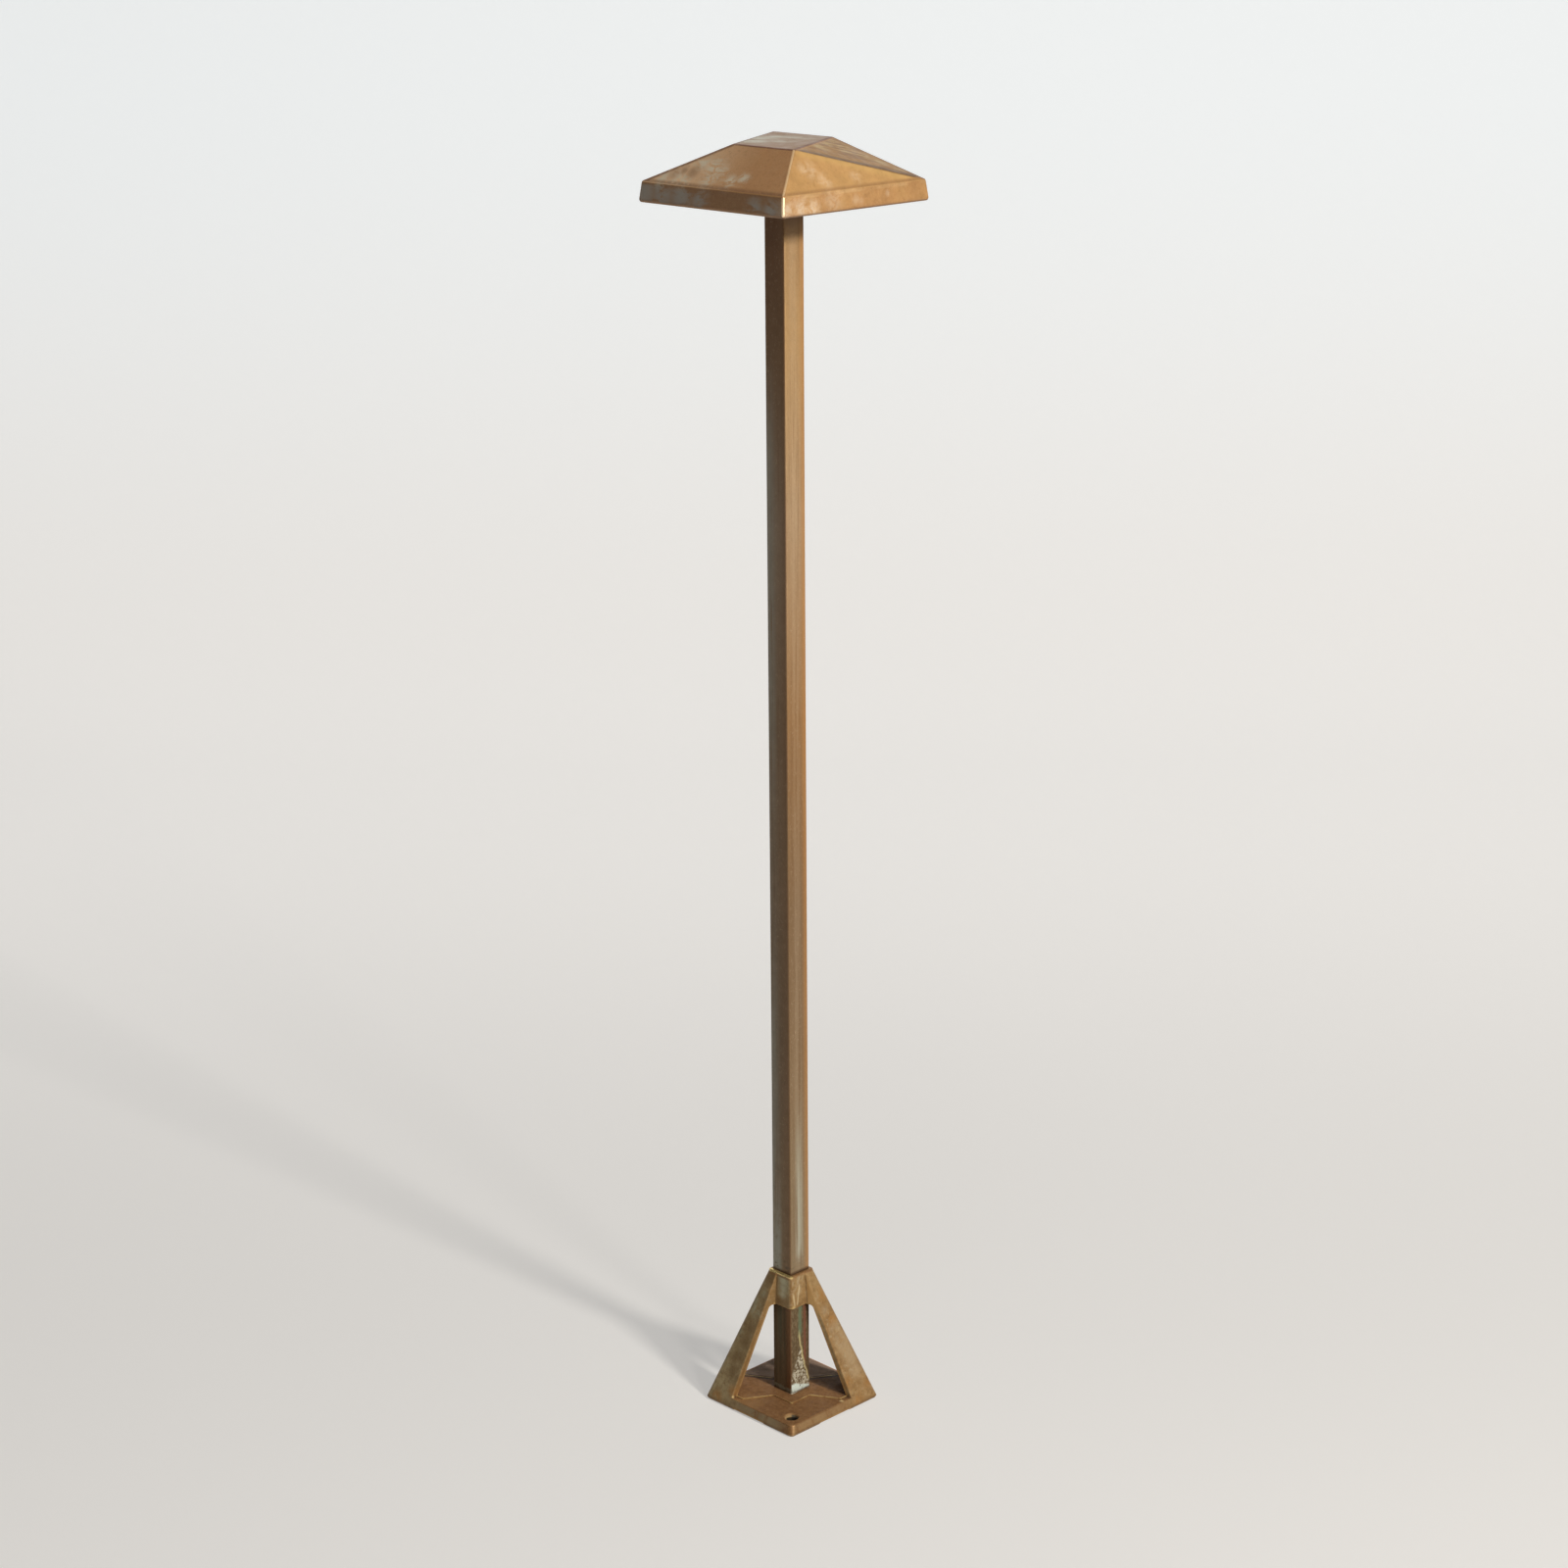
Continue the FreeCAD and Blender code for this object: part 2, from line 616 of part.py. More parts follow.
def hat_casting():
    core = hat_form(HAT_EDGE_R, rim_bottom + HAT_EDGE_R)
    outside = core.makeOffsetShape(HAT_EDGE_R, 1e-4, join=0)
    inside = hat_form(HAT_WALL, rim_bottom - PAST)
    boss_half = post_half + HAT_FIT + BOSS_WALL
    boss = square_prism(boss_half, POST_CORNER_R + BOSS_WALL, boss_bottom, ceiling + HAT_WALL / 2)
    cuts = [square_prism(post_half + HAT_FIT, POST_CORNER_R, boss_bottom - PAST, ceiling)]
    for tip, axis in hat_screw_places():
        cuts.append(rod(tip, axis, HAT_SCREW_R + THREAD_FIT, HAT_FIT + BOSS_WALL + PAST))
    return outside.cut(inside).fuse(boss).removeSplitter().cut(cuts)


def hat_set_screws():
    screws = [set_screw(tip, axis, HAT_SCREW_R, HAT_SCREW_LENGTH) for tip, axis in hat_screw_places()]
    return Part.makeCompound(screws)


PARTS = {
    "base_casting": base_casting(),
    "cable_grommet": cable_grommet(),
    "collar_set_screws": collar_set_screws(),
    "post_tube": post_tube(),
    "post_plug": post_plug(),
    "plug_screw": plug_screw(),
    "lamp_bracket": lamp_bracket(),
    "bracket_screw": bracket_screw(),
    "lamp_socket": lamp_socket(),
    "socket_contacts": socket_contacts(),
    "socket_screws": socket_screws(),
    "lead_positive": lead(1),
    "lead_negative": lead(-1),
    "lamp_pins": lamp_pins(),
    "lamp_back": lamp_back(),
    "lamp_board": lamp_board(),
    "lamp_leds": lamp_leds(),
    "lamp_cover": lamp_cover(),
    "hat_casting": hat_casting(),
    "hat_set_screws": hat_set_screws(),
}

os.makedirs("parts", exist_ok=True)
for name, shape in PARTS.items():
    shape.exportStep("parts/" + name + ".step")
    print(name, len(shape.Solids), shape.isValid(), round(shape.Volume, 1))
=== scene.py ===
"""Looks of the path light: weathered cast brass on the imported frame.

The scene is in metres. Inside the brass materials, places and lengths are in mm.
"""

import json
import math

import bpy
from mathutils import Matrix, Vector

MM = 0.001
DIAGONAL = 0.7071
OCCLUSION_SAMPLES = 8

# Camera: place and clipping in metres, heading and tilts in degrees, lens and sensor in mm
CAMERA_PLACE = (1.03767, -1.02614, 0.75759)
CAMERA_HEADING = 45.388
CAMERA_PITCH = -16.826
CAMERA_ROLL = -0.403
CAMERA_LENS = 75.095
CAMERA_SENSOR = 36.0
CAMERA_CLIP = (0.05, 50.0)

# Light: soft lamps on the right and above, each (azimuth, elevation, distance, size, power),
# and a weak sky
LAMP_AIM = (0.0, 0.0, 0.42)
LAMPS = (
    (-1.5, 26.0, 2.44, 0.30, 48.0),
    (-14.0, 27.0, 2.44, 0.30, 11.5),
    (-40.0, 62.0, 2.2, 1.2, 6.0),
)
LAMP_TONE = (1.0, 0.96, 0.9)
SKY_TONE = (0.92, 0.96, 1.0)
SKY_STRENGTH = 0.03

# Stage: floor and backdrop in one sweep along the camera's heading, in metres
SWEEP_FRONT = -45.0
SWEEP_NEAR = -1.6
SWEEP_FLOOR = 1.1
SWEEP_BEND = 1.2
SWEEP_TOP = 3.2
SWEEP_WIDTH = 8.0
SWEEP_FRONT_WIDTH = 16.0
SWEEP_STEPS = 24
SWEEP_DROP = 0.0002

# Its paper: tones in screen values, the runs over which they change, the share of lamp light that it
# shows, which is less below the lamps, and its glow
FLOOR_TONE = (219, 217, 214)
MIDDLE_TONE = (231, 229, 226)
TOP_TONE = (235, 238, 239)
MIDDLE_RUN = (0.0, 0.9)
TOP_RUN = (1.4, 2.6)
PAPER_SHARE = 0.66
PAPER_SHARE_LAMPS = 0.30
LAMPS_RUN = (0.6, 1.6)
GLOW_NEAR = 0.575
GLOW_FAR = 0.745
GLOW_RUN = (0.0, 1.3)

# Ways that faces look, the last four on the hat
LEFT = (0, -1, 0)
RIGHT = (1, 0, 0)
UP = (0, 0, 1)
DOWN = (0, 0, -1)
NEAR = (1, -1, 0)
LEFT_SLOPE = (0, -0.67, 0.74)
RIGHT_SLOPE = (0.805, 0, 0.593)
UPPER_FACET = (0.24, 0.195, 0.95)
NEAR_HIP = (0.46, -0.383, 0.76)

# Hat in plan: two eave corners, the flat top's corners, and the lean of the fold from the near one
EAVE_LEFT = (-44.8, -44.8)
EAVE_RIGHT = (44.8, 44.8)
TOP_LEFT = (-5.4, -25.3)
TOP_NEAR = (31.75, -25.3)
TOP_RIGHT = (5.4, 25.3)
TOP_BACK = (-31.75, 25.3)
FOLD_LEAN = 0.1862

# Heights, and the plate's near hole
HAT_TOP = 612.2
EAVE = 594.5
COLLAR_TOP = 69.5
SEAT_TOP = 5.7
HOLE = (21.96, -21.96, 2.5)

# Foot: the collar's pale runs, each (place at their level, lean, top), and the slant of the seat's edge
COLLAR_RUNS = ((-2.1, -0.158, 65.0), (-7.0, 0.143, 61.0))
COLLAR_RUNS_LEVEL = 64.5
SEAT_SLANT = 0.255

# Post below the collar: where its run starts, how far that falls, drifts outward and curves, then the
# slants of the crust and the verdigris, and how ragged the verdigris is
RUN_TOP = 35.5
RUN_FALL = 25.5
RUN_DRIFT = 6.6
RUN_CURVE = 1.5
CRUST_SLANT = 2.34
VERDIGRIS_SLANT = 0.35
VERDIGRIS_RAGGED = 3.0

# All the brass: how far tarnish, and wear with painted highlights, cover, and what patina and that wear do
# to roughness and metal
TARNISH_COVER = 0.75
WEAR_AND_GLINT_COVER = 0.85
PATINA_ROUGHNESS = 0.25
WEAR_AND_GLINT_SMOOTHNESS = 0.16
METAL = 0.40
PATINA_METAL = 0.36
WEAR_AND_GLINT_METAL = 0.40

# Post's tones from the foot up, painted as a lit copy (sunny) for the faces that look right and a shaded
# copy (shady) for the sides, each (share of the height, red, green, blue)
TONES_HEIGHT = 600.0
SUNNY = (
    (0.12, 0.275, 0.197, 0.110),
    (0.27, 0.262, 0.171, 0.090),
    (0.43, 0.234, 0.139, 0.066),
    (0.58, 0.330, 0.180, 0.074),
    (0.74, 0.460, 0.300, 0.165),
    (0.88, 0.500, 0.305, 0.134),
    (0.94, 0.450, 0.272, 0.122),
)
SHADY = (
    (0.12, 0.220, 0.150, 0.082),
    (0.30, 0.180, 0.118, 0.066),
    (0.58, 0.230, 0.150, 0.086),
    (0.74, 0.290, 0.210, 0.142),
    (0.86, 0.210, 0.124, 0.064),
    (0.95, 0.165, 0.084, 0.039),
)

# Plain finishes: light tone, dark tone, cloud size, roughness, grain depth, metal, light let through
PLAIN = {
    "fitting_brass": ((0.62, 0.43, 0.18), (0.42, 0.27, 0.11), 4.0, 0.38, 0.05, 0.9, 0.0),
    "screw_steel": ((0.42, 0.42, 0.41), (0.26, 0.26, 0.26), 1.2, 0.36, 0.03, 1.0, 0.0),
    "bush_rubber": ((0.030, 0.030, 0.031), (0.016, 0.016, 0.017), 2.0, 0.7, 0.06, 0.0, 0.0),
    "socket_ceramic": ((0.78, 0.75, 0.68), (0.68, 0.64, 0.56), 5.0, 0.3, 0.04, 0.0, 0.0),
    "contact_metal": ((0.70, 0.66, 0.58), (0.5, 0.46, 0.4), 1.0, 0.3, 0.02, 1.0, 0.0),
    "lead_red": ((0.42, 0.028, 0.022), (0.30, 0.018, 0.015), 3.0, 0.45, 0.03, 0.0, 0.0),
    "lead_black": ((0.035, 0.035, 0.036), (0.018, 0.018, 0.019), 3.0, 0.45, 0.03, 0.0, 0.0),
    "lamp_plastic": ((0.74, 0.74, 0.72), (0.64, 0.64, 0.62), 3.0, 0.42, 0.03, 0.0, 0.0),
    "board_white": ((0.80, 0.80, 0.78), (0.70, 0.70, 0.68), 2.0, 0.4, 0.02, 0.0, 0.0),
    "led_chip": ((0.85, 0.62, 0.10), (0.72, 0.50, 0.07), 0.6, 0.35, 0.02, 0.0, 0.0),
    "lamp_cover": ((0.86, 0.86, 0.85), (0.78, 0.78, 0.77), 3.0, 0.5, 0.02, 0.0, 0.45),
}
# What they share: grain to cloud size, painted shade tone and cover in hollows, range of roughness
GRAIN_SHARE = 0.2
HOLLOW_SHADE = 0.35
HOLLOW_COVER = 0.4
ROUGH_RANGE = 0.07


def tone(red, green, blue):
    """A colour written in screen values, as the linear colour a shader takes."""
    def linear(value):
        value = value / 255.0
        return value / 12.92 if value <= 0.04045 else ((value + 0.055) / 1.055) ** 2.4
    return (linear(red), linear(green), linear(blue))


class Nodes:
    """A node material and short calls that add to it. Masks run from 0 to 1."""

    def __init__(self, name, **constants):
        self.material = bpy.data.materials.new(name)
        self.material.use_nodes = True
        self.tree = self.material.node_tree
        self.tree.nodes.clear()
        self.shader = self.add("ShaderNodeBsdfPrincipled")
        self.output = self.add("ShaderNodeOutputMaterial")
        self.tree.links.new(self.shader.outputs[0], self.output.inputs["Surface"])
        for socket, value in constants.items():
            self.shader.inputs[socket.replace("_", " ").title()].default_value = value
        self.metres = self.add("ShaderNodeTexCoord").outputs["Object"]
        self.facing = self.add("ShaderNodeNewGeometry").outputs["Normal"]
        place = self.add("ShaderNodeVectorMath", operation="SCALE")
        self.put(place.inputs[0], self.metres)
        place.inputs["Scale"].default_value = 1.0 / MM
        self.place = place.outputs[0]
        self.x, self.y, self.z = self.parts(self.place)

    def add(self, kind, **settings):
        node = self.tree.nodes.new(kind)
        for name, value in settings.items():
            setattr(node, name, value)
        return node

    def put(self, socket, value):
        """Links an output to a socket or sets its value; a tone is given as red, green, blue."""
        if isinstance(value, bpy.types.NodeSocket):
            self.tree.links.new(value, socket)
        elif socket.type == "RGBA":
            socket.default_value = (*value, 1.0)
        else:
            socket.default_value = value

    def surface(self, **sockets):
        for name, value in sockets.items():
            self.put(self.shader.inputs[name.replace("_", " ").title()], value)

    def parts(self, vector):
        node = self.add("ShaderNodeSeparateXYZ")
        self.put(node.inputs[0], vector)
        return node.outputs[0], node.outputs[1], node.outputs[2]

    def math(self, operation, first, second=0.0, clamp=False):
        node = self.add("ShaderNodeMath", operation=operation, use_clamp=clamp)
        self.put(node.inputs[0], first)
        self.put(node.inputs[1], second)
        return node.outputs[0]

    def plus(self, first, second):
        return self.math("ADD", first, second)

    def minus(self, first, second):
        return self.math("SUBTRACT", first, second)

    def size(self, value):
        return self.math("ABSOLUTE", value)

    def times(self, *values):
        result = values[0]
        for value in values[1:]:
            result = self.math("MULTIPLY", result, value)
        return result

    def most(self, *values):
        """The largest of several values."""
        result = values[0]
        for value in values[1:]:
            result = self.math("MAXIMUM", result, value)
        return result

    def span(self, value, low, high, to_low=0.0, to_high=1.0):
        """A smooth change from to_low at low to to_high at high, which may be the smaller one."""
        node = self.add("ShaderNodeMapRange", interpolation_type="SMOOTHSTEP")
        self.put(node.inputs["Value"], value)
        for socket, number in (("From Min", low), ("From Max", high),
                               ("To Min", to_low), ("To Max", to_high)):
            node.inputs[socket].default_value = number
        return node.outputs[0]

    def band(self, value, low, full, fade, high):
        """1 from full to fade, 0 below low and above high."""
        return self.times(self.span(value, low, full), self.span(value, high, fade))

    def stripe(self, value, middle, outer, inner, to_low=0.0, to_high=1.0):
        """to_high within inner of a middle value, to_low beyond outer."""
        return self.span(self.size(self.minus(value, middle)), outer, inner, to_low, to_high)

    def moved(self, scale=(1, 1, 1), shift=(0, 0, 0), turn=(0, 0, 0)):
        """The place in metres, turned, stretched and shifted for a texture."""
        vector = self.metres
        if any(turn):
            node = self.add("ShaderNodeMapping")
            self.put(node.inputs["Vector"], vector)
            node.inputs["Rotation"].default_value = [math.radians(angle) for angle in turn]
            vector = node.outputs[0]
        node = self.add("ShaderNodeMapping")
        self.put(node.inputs["Vector"], vector)
        node.inputs["Scale"].default_value = scale
        node.inputs["Location"].default_value = shift
        return node.outputs[0]

    def noise(self, size, detail=5.0, rough=0.6, stretch=(1, 1, 1), shift=(0, 0, 0), twist=0.0,
              turn=(0, 0, 0)):
        """Cloudy noise whose clouds are about size mm across."""
        node = self.add("ShaderNodeTexNoise")
        self.put(node.inputs["Vector"], self.moved(stretch, shift, turn))
        node.inputs["Scale"].default_value = 1.0 / (size * MM)
        node.inputs["Detail"].default_value = detail
        node.inputs["Roughness"].default_value = rough
        node.inputs["Distortion"].default_value = twist
        return node.outputs[0]

    def cells(self, size, shift):
        """Distance to the middle of cells about size mm across."""
        node = self.add("ShaderNodeTexVoronoi")
        self.put(node.inputs["Vector"], self.moved(shift=shift))
        node.inputs["Scale"].default_value = 1.0 / (size * MM)
        return node.outputs["Distance"]

    def mix(self, share, first, second):
        node = self.add("ShaderNodeMix", data_type="RGBA")
        self.put(node.inputs[0], share)
        self.put(node.inputs[6], first)
        self.put(node.inputs[7], second)
        return node.outputs[2]

    def paint(self, colour, coat, *masks):
        """A coat over a colour, as thick as the product of the masks."""
        return self.mix(self.times(*masks), colour, coat)

    def near(self, place, reach, core=0.0):
        """1 within the core round a place, 0 beyond its reach."""
        node = self.add("ShaderNodeVectorMath", operation="DISTANCE")
        self.put(node.inputs[0], self.place)
        node.inputs[1].default_value = place
        return self.span(node.outputs["Value"], reach, core)

    def nearest(self, *places):
        """The largest of several near masks, each (x, y, z, reach)."""
        return self.most(*[self.near((x, y, z), reach) for x, y, z, reach in places])

    def along(self, start, end, width):
        """1 on a line in plan, 0 beyond half its width."""
        run = Vector(end) - Vector(start)
        normal = Vector((run.y, -run.x)).normalized()
        beside = self.plus(self.times(self.x, normal.x), self.times(self.y, normal.y))
        return self.stripe(beside, normal.dot(Vector(start)), 0.5 * width, 0.15 * width)

    def toward(self, direction, low, high):
        """1 on faces that look in a direction."""
        node = self.add("ShaderNodeVectorMath", operation="DOT_PRODUCT")
        self.put(node.inputs[0], self.facing)
        node.inputs[1].default_value = Vector(direction).normalized()
        return self.span(node.outputs["Value"], low, high)

    def occlusion(self, reach, low, high, inside):
        """1 where other faces close by hide the surroundings, seen from outside or inside the solid."""
        node = self.add("ShaderNodeAmbientOcclusion", samples=OCCLUSION_SAMPLES, inside=inside)
        node.inputs["Distance"].default_value = reach * MM
        return self.span(node.outputs["AO"], high, low)

    def hollows(self, reach, low=0.35, high=0.95):
        """1 in corners and under ledges, 0 on open faces."""
        return self.occlusion(reach, low, high, False)

    def arrises(self, reach, low, high):
        """1 on outside edges, 0 on flats and in corners."""
        return self.occlusion(reach, low, high, True)

    def ramp(self, value, stops):
        """A run of colours, each (place, red, green, blue)."""
        node = self.add("ShaderNodeValToRGB")
        self.put(node.inputs[0], value)
        points = node.color_ramp.elements
        while len(points) < len(stops):
            points.new(0.5)
        for point, (place, *colour) in zip(points, stops):
            point.position = place
            point.color = (*colour, 1)
        return node.outputs[0]

    def bump(self, height, strength, depth, normal=None):
        node = self.add("ShaderNodeBump")
        node.inputs["Strength"].default_value = strength
        node.inputs["Distance"].default_value = depth * MM
        self.put(node.inputs["Height"], height)
        if normal is not None:
            self.put(node.inputs["Normal"], normal)
        return node.outputs[0]


def brass_surface(nodes, colour, edges, tarnish, wear_and_glint, shine, pitting, patina, gloss):
    """The finish that all the weathered brass shares: edges, worn metal with painted highlights, roughness,
    metal, grain and pits.
    """
    rust = nodes.times(edges, nodes.span(nodes.noise(3.0, 5, 0.7, shift=(1, 8, 4)), 0.20, 0.50))
    colour = nodes.paint(colour, tarnish, rust, TARNISH_COVER)
    # Worn metal and painted highlights share one mask and one tone
    colour = nodes.paint(colour, shine, wear_and_glint, WEAR_AND_GLINT_COVER)
    grain = nodes.noise(0.7, 4, 0.65, shift=(3, 1, 7))
    waves = nodes.noise(9.0, 3, 0.5, shift=(5, 2, 1))
    pits = nodes.span(nodes.cells(1.9, (0.3, 0.1, 0.2)), 0.04, 0.3)
    rough = nodes.span(nodes.noise(5.0, 5, 0.65, shift=(8, 8, 2)), 0.3, 0.7, 0.38, 0.56)
    rough = nodes.plus(rough, nodes.times(patina, PATINA_ROUGHNESS))
    rough = nodes.math("SUBTRACT", rough, nodes.times(wear_and_glint, WEAR_AND_GLINT_SMOOTHNESS), clamp=True)
    metal = nodes.minus(METAL, nodes.times(patina, PATINA_METAL))
    metal = nodes.math("ADD", metal, nodes.times(wear_and_glint, WEAR_AND_GLINT_METAL), clamp=True)
    normal = nodes.bump(waves, 0.30, 0.5)
    normal = nodes.bump(pits, 0.25 * pitting, 0.25, normal)
    normal = nodes.bump(grain, 0.22, 0.16, normal)
    nodes.surface(base_color=colour, roughness=rough, metallic=metal, normal=normal)
    nodes.shader.inputs["Specular IOR Level"].default_value = gloss


def hat_brass():
    """Hat: warm brown roof, golden right side, grey-green bloom on the left and on top."""
    nodes = Nodes("hat_brass")
    clouds = nodes.noise(16.0, 5, 0.6, shift=(1, 4, 2))
    fine = nodes.noise(1.6, 6, 0.75, shift=(6, 3, 9))
    ragged = nodes.noise(3.4, 9, 0.74, stretch=(0.5, 1, 1), shift=(2, 7, 5), twist=0.9)
    puffs = nodes.noise(4.2, 9, 0.72, stretch=(1, 0.7, 1), shift=(4, 4, 4), twist=0.8)
    # Ground tone: paler on the left slope, partly painted light, with a painted pool of light on its left
    # part, a painted golden highlight on the right slope, dark on the left rim
    colour = nodes.mix(nodes.span(clouds, 0.3, 0.7), (0.50, 0.265, 0.102), (0.60, 0.335, 0.128))
    slope = nodes.toward(LEFT_SLOPE, 0.9, 0.99)
    colour = nodes.paint(colour, (0.70, 0.362, 0.155), slope, 0.8)
    # Painted pool of light on the left part of the left slope
    colour = nodes.paint(colour, (1.0, 0.68, 0.40), slope, nodes.span(nodes.x, 20, -25), 0.80)
    # Painted highlight on the right slope that faces the lamp
    lit_slope = nodes.toward(RIGHT_SLOPE, 0.97, 0.995)
    colour = nodes.paint(colour, (0.72, 0.42, 0.155), lit_slope, 0.5)
    rim_left = nodes.toward(LEFT, 0.9, 0.99)
    colour = nodes.paint(colour, (0.330, 0.180, 0.096), rim_left, 0.8)
    colour = nodes.paint(colour, (0.70, 0.47, 0.25), nodes.span(fine, 0.45, 0.8, 0.0, 0.25))
    colour = nodes.paint(colour, (0.30, 0.145, 0.062), nodes.span(fine, 0.50, 0.25, 0.0, 0.4))
    # Bloom on the left slope, round brown patches
    bloom = nodes.nearest(
        (-32, -42.4, 597, 9), (-26, -41, 598, 8), (-19, -42, 597, 7), (-15.6, -34.3, 604, 8),
        (-7, -35.8, 603, 9), (-1, -38, 601, 8), (-4.5, -41, 598, 8), (8, -41, 598, 7),
        (15, -39.5, 600, 6))
    core = nodes.nearest((-17.2, -38.6, 600.2, 6), (-27.5, -39.9, 599.0, 5.5), (-23.0, -38.4, 600.4, 4))
    core = nodes.times(core, nodes.span(ragged, 0.76, 0.46))
    bloom = nodes.times(bloom, nodes.span(ragged, 0.43, 0.55), nodes.span(core, 0.0, 1.0, 1.0, 0.2))
    colour = nodes.paint(colour, (0.70, 0.64, 0.49), bloom, 0.85)
    colour = nodes.paint(colour, (0.36, 0.19, 0.10), core, 0.60)
    # Bloom on the left rim
    smear = nodes.noise(9.0, 8, 0.66, stretch=(0.6, 1, 1.5), shift=(7, 2, 3), twist=0.7)
    rim = nodes.nearest(
        (-42, -45.2, 590, 14), (-30, -45.2, 590, 12), (-18, -45.2, 590, 13), (-6, -45.2, 589, 9),
        (28, -45.2, 588, 9), (38, -45.2, 588, 9))
    rim = nodes.times(rim, nodes.span(smear, 0.40, 0.56), nodes.span(nodes.z, EAVE, EAVE - 1.5), rim_left)
    colour = nodes.paint(colour, (0.40, 0.385, 0.345), rim, 0.8)
    # Flat top: red-brown with pale streaks
    flat = nodes.span(nodes.z, HAT_TOP - 0.3, HAT_TOP - 0.1)
    across = nodes.noise(5.5, 8, 0.66, stretch=(1, 0.35, 1), shift=(3, 5, 5), turn=(0, 0, 45))
    pale_top = nodes.nearest(
        (-14, -1, 612, 14), (-14, 9, 612, 11), (-5, 12, 612, 10), (2, 10, 612, 9),
        (-6, -12, 612, 12), (2, -2, 612, 11))
    pale_top = nodes.times(pale_top, nodes.span(across, 0.36, 0.54), flat)
    colour = nodes.paint(colour, (0.45, 0.280, 0.172), flat, 0.9)
    colour = nodes.paint(colour, (0.92, 0.92, 0.81), pale_top, 0.9)
    # Upper right facet: dark and pale streaks along its fold
    upper = nodes.times(nodes.toward(UPPER_FACET, 0.975, 0.995),
                        nodes.span(nodes.z, HAT_TOP - 0.3, HAT_TOP - 0.8))
    streaks = nodes.noise(2.4, 7, 0.7, stretch=(1, 0.12, 0.5), shift=(1, 1, 8), turn=(0, 0, 11))
    pale_up = nodes.nearest(
        (11, 17, 611, 9), (16, 12, 611, 9), (17, 19, 609, 9), (22, 0, 611, 7), (22, 15.6, 608, 7),
        (25.3, 23, 605.5, 7), (30.6, 29.3, 602.4, 6), (38, 34.7, 599, 5))
    colour = nodes.paint(colour, (0.43, 0.235, 0.076), upper, 0.75)
    colour = nodes.paint(colour, (0.27, 0.135, 0.050), upper, nodes.span(streaks, 0.56, 0.38), 0.75)
    colour = nodes.paint(colour, (0.63, 0.49, 0.245), upper, nodes.span(streaks, 0.42, 0.60), pale_up, 0.80)
    # Fold: painted shade above it and a painted highlight below it
    fold = nodes.times(nodes.minus(nodes.y, TOP_NEAR[1]), FOLD_LEAN)
    fold = nodes.minus(nodes.minus(nodes.x, fold), TOP_NEAR[0])
    roof = nodes.times(nodes.band(nodes.z, EAVE + 1.0, EAVE + 2.0, HAT_TOP - 1.0, HAT_TOP - 0.2),
                       nodes.span(nodes.x, 10, 20), nodes.span(nodes.y, -26.2, -24.8))
    shade = nodes.times(nodes.band(fold, -4.8, -1.0, -0.2, 0.5), roof)
    glint = nodes.times(nodes.band(fold, -0.2, 0.4, 0.8, 2.8), roof)
    colour = nodes.paint(colour, (0.15, 0.078, 0.028), shade, 0.80)
    colour = nodes.paint(colour, (0.78, 0.50, 0.18), glint, 0.45)
    # Right side: cream spots on the slope, pale bloom and drops on the rim
    cream = nodes.nearest(
        (38, -22, 604, 7), (37.5, -25, 604.5, 5), (41, -17, 599, 6), (42, -15.5, 598, 5), (41.6, 3, 599, 5))
    pale = nodes.nearest((45.2, -43, 588.5, 8), (45.2, -35, 588.5, 9), (45.2, -27, 588, 7))
    drops = nodes.nearest(
        (45.2, -1, 590, 3.5), (45.2, 2, 589, 3), (45.2, 19, 591, 2.2), (45.2, -15, 590.5, 9))
    pale = nodes.most(pale, nodes.times(drops, 0.50))
    spots = nodes.most(nodes.times(cream, nodes.span(puffs, 0.34, 0.66), 0.75),
                       nodes.times(pale, nodes.span(ragged, 0.34, 0.60)))
    colour = nodes.paint(colour, (0.63, 0.56, 0.44), spots, 0.55)
    # Eave: painted shade in the crease above it, a painted highlight on the rounded ridge below it on the
    # right
    eave_shade = nodes.times(nodes.band(nodes.z, EAVE, EAVE + 0.6, EAVE + 0.8, EAVE + 2.1),
                       nodes.span(fine, 0.25, 0.55),
                       nodes.span(nodes.parts(nodes.facing)[0], 0.2, 0.5, 0.65, 0.45))
    colour = nodes.paint(colour, (0.25, 0.115, 0.050), eave_shade)
    eave_highlight = nodes.times(nodes.band(nodes.z, EAVE - 1.7, EAVE - 0.8, EAVE - 0.2, EAVE + 0.5),
                        nodes.toward(RIGHT, 0.5, 0.8), nodes.span(clouds, 0.35, 0.6))
    colour = nodes.paint(colour, (0.80, 0.56, 0.29), eave_highlight, 0.40)
    # Inside: darker on faces that look down, and painted shade in hollows
    colour = nodes.paint(colour, (0.16, 0.10, 0.055), nodes.toward(DOWN, 0.2, 0.6), 0.6)
    colour = nodes.paint(colour, (0.10, 0.06, 0.035), nodes.hollows(6.0), 0.55)
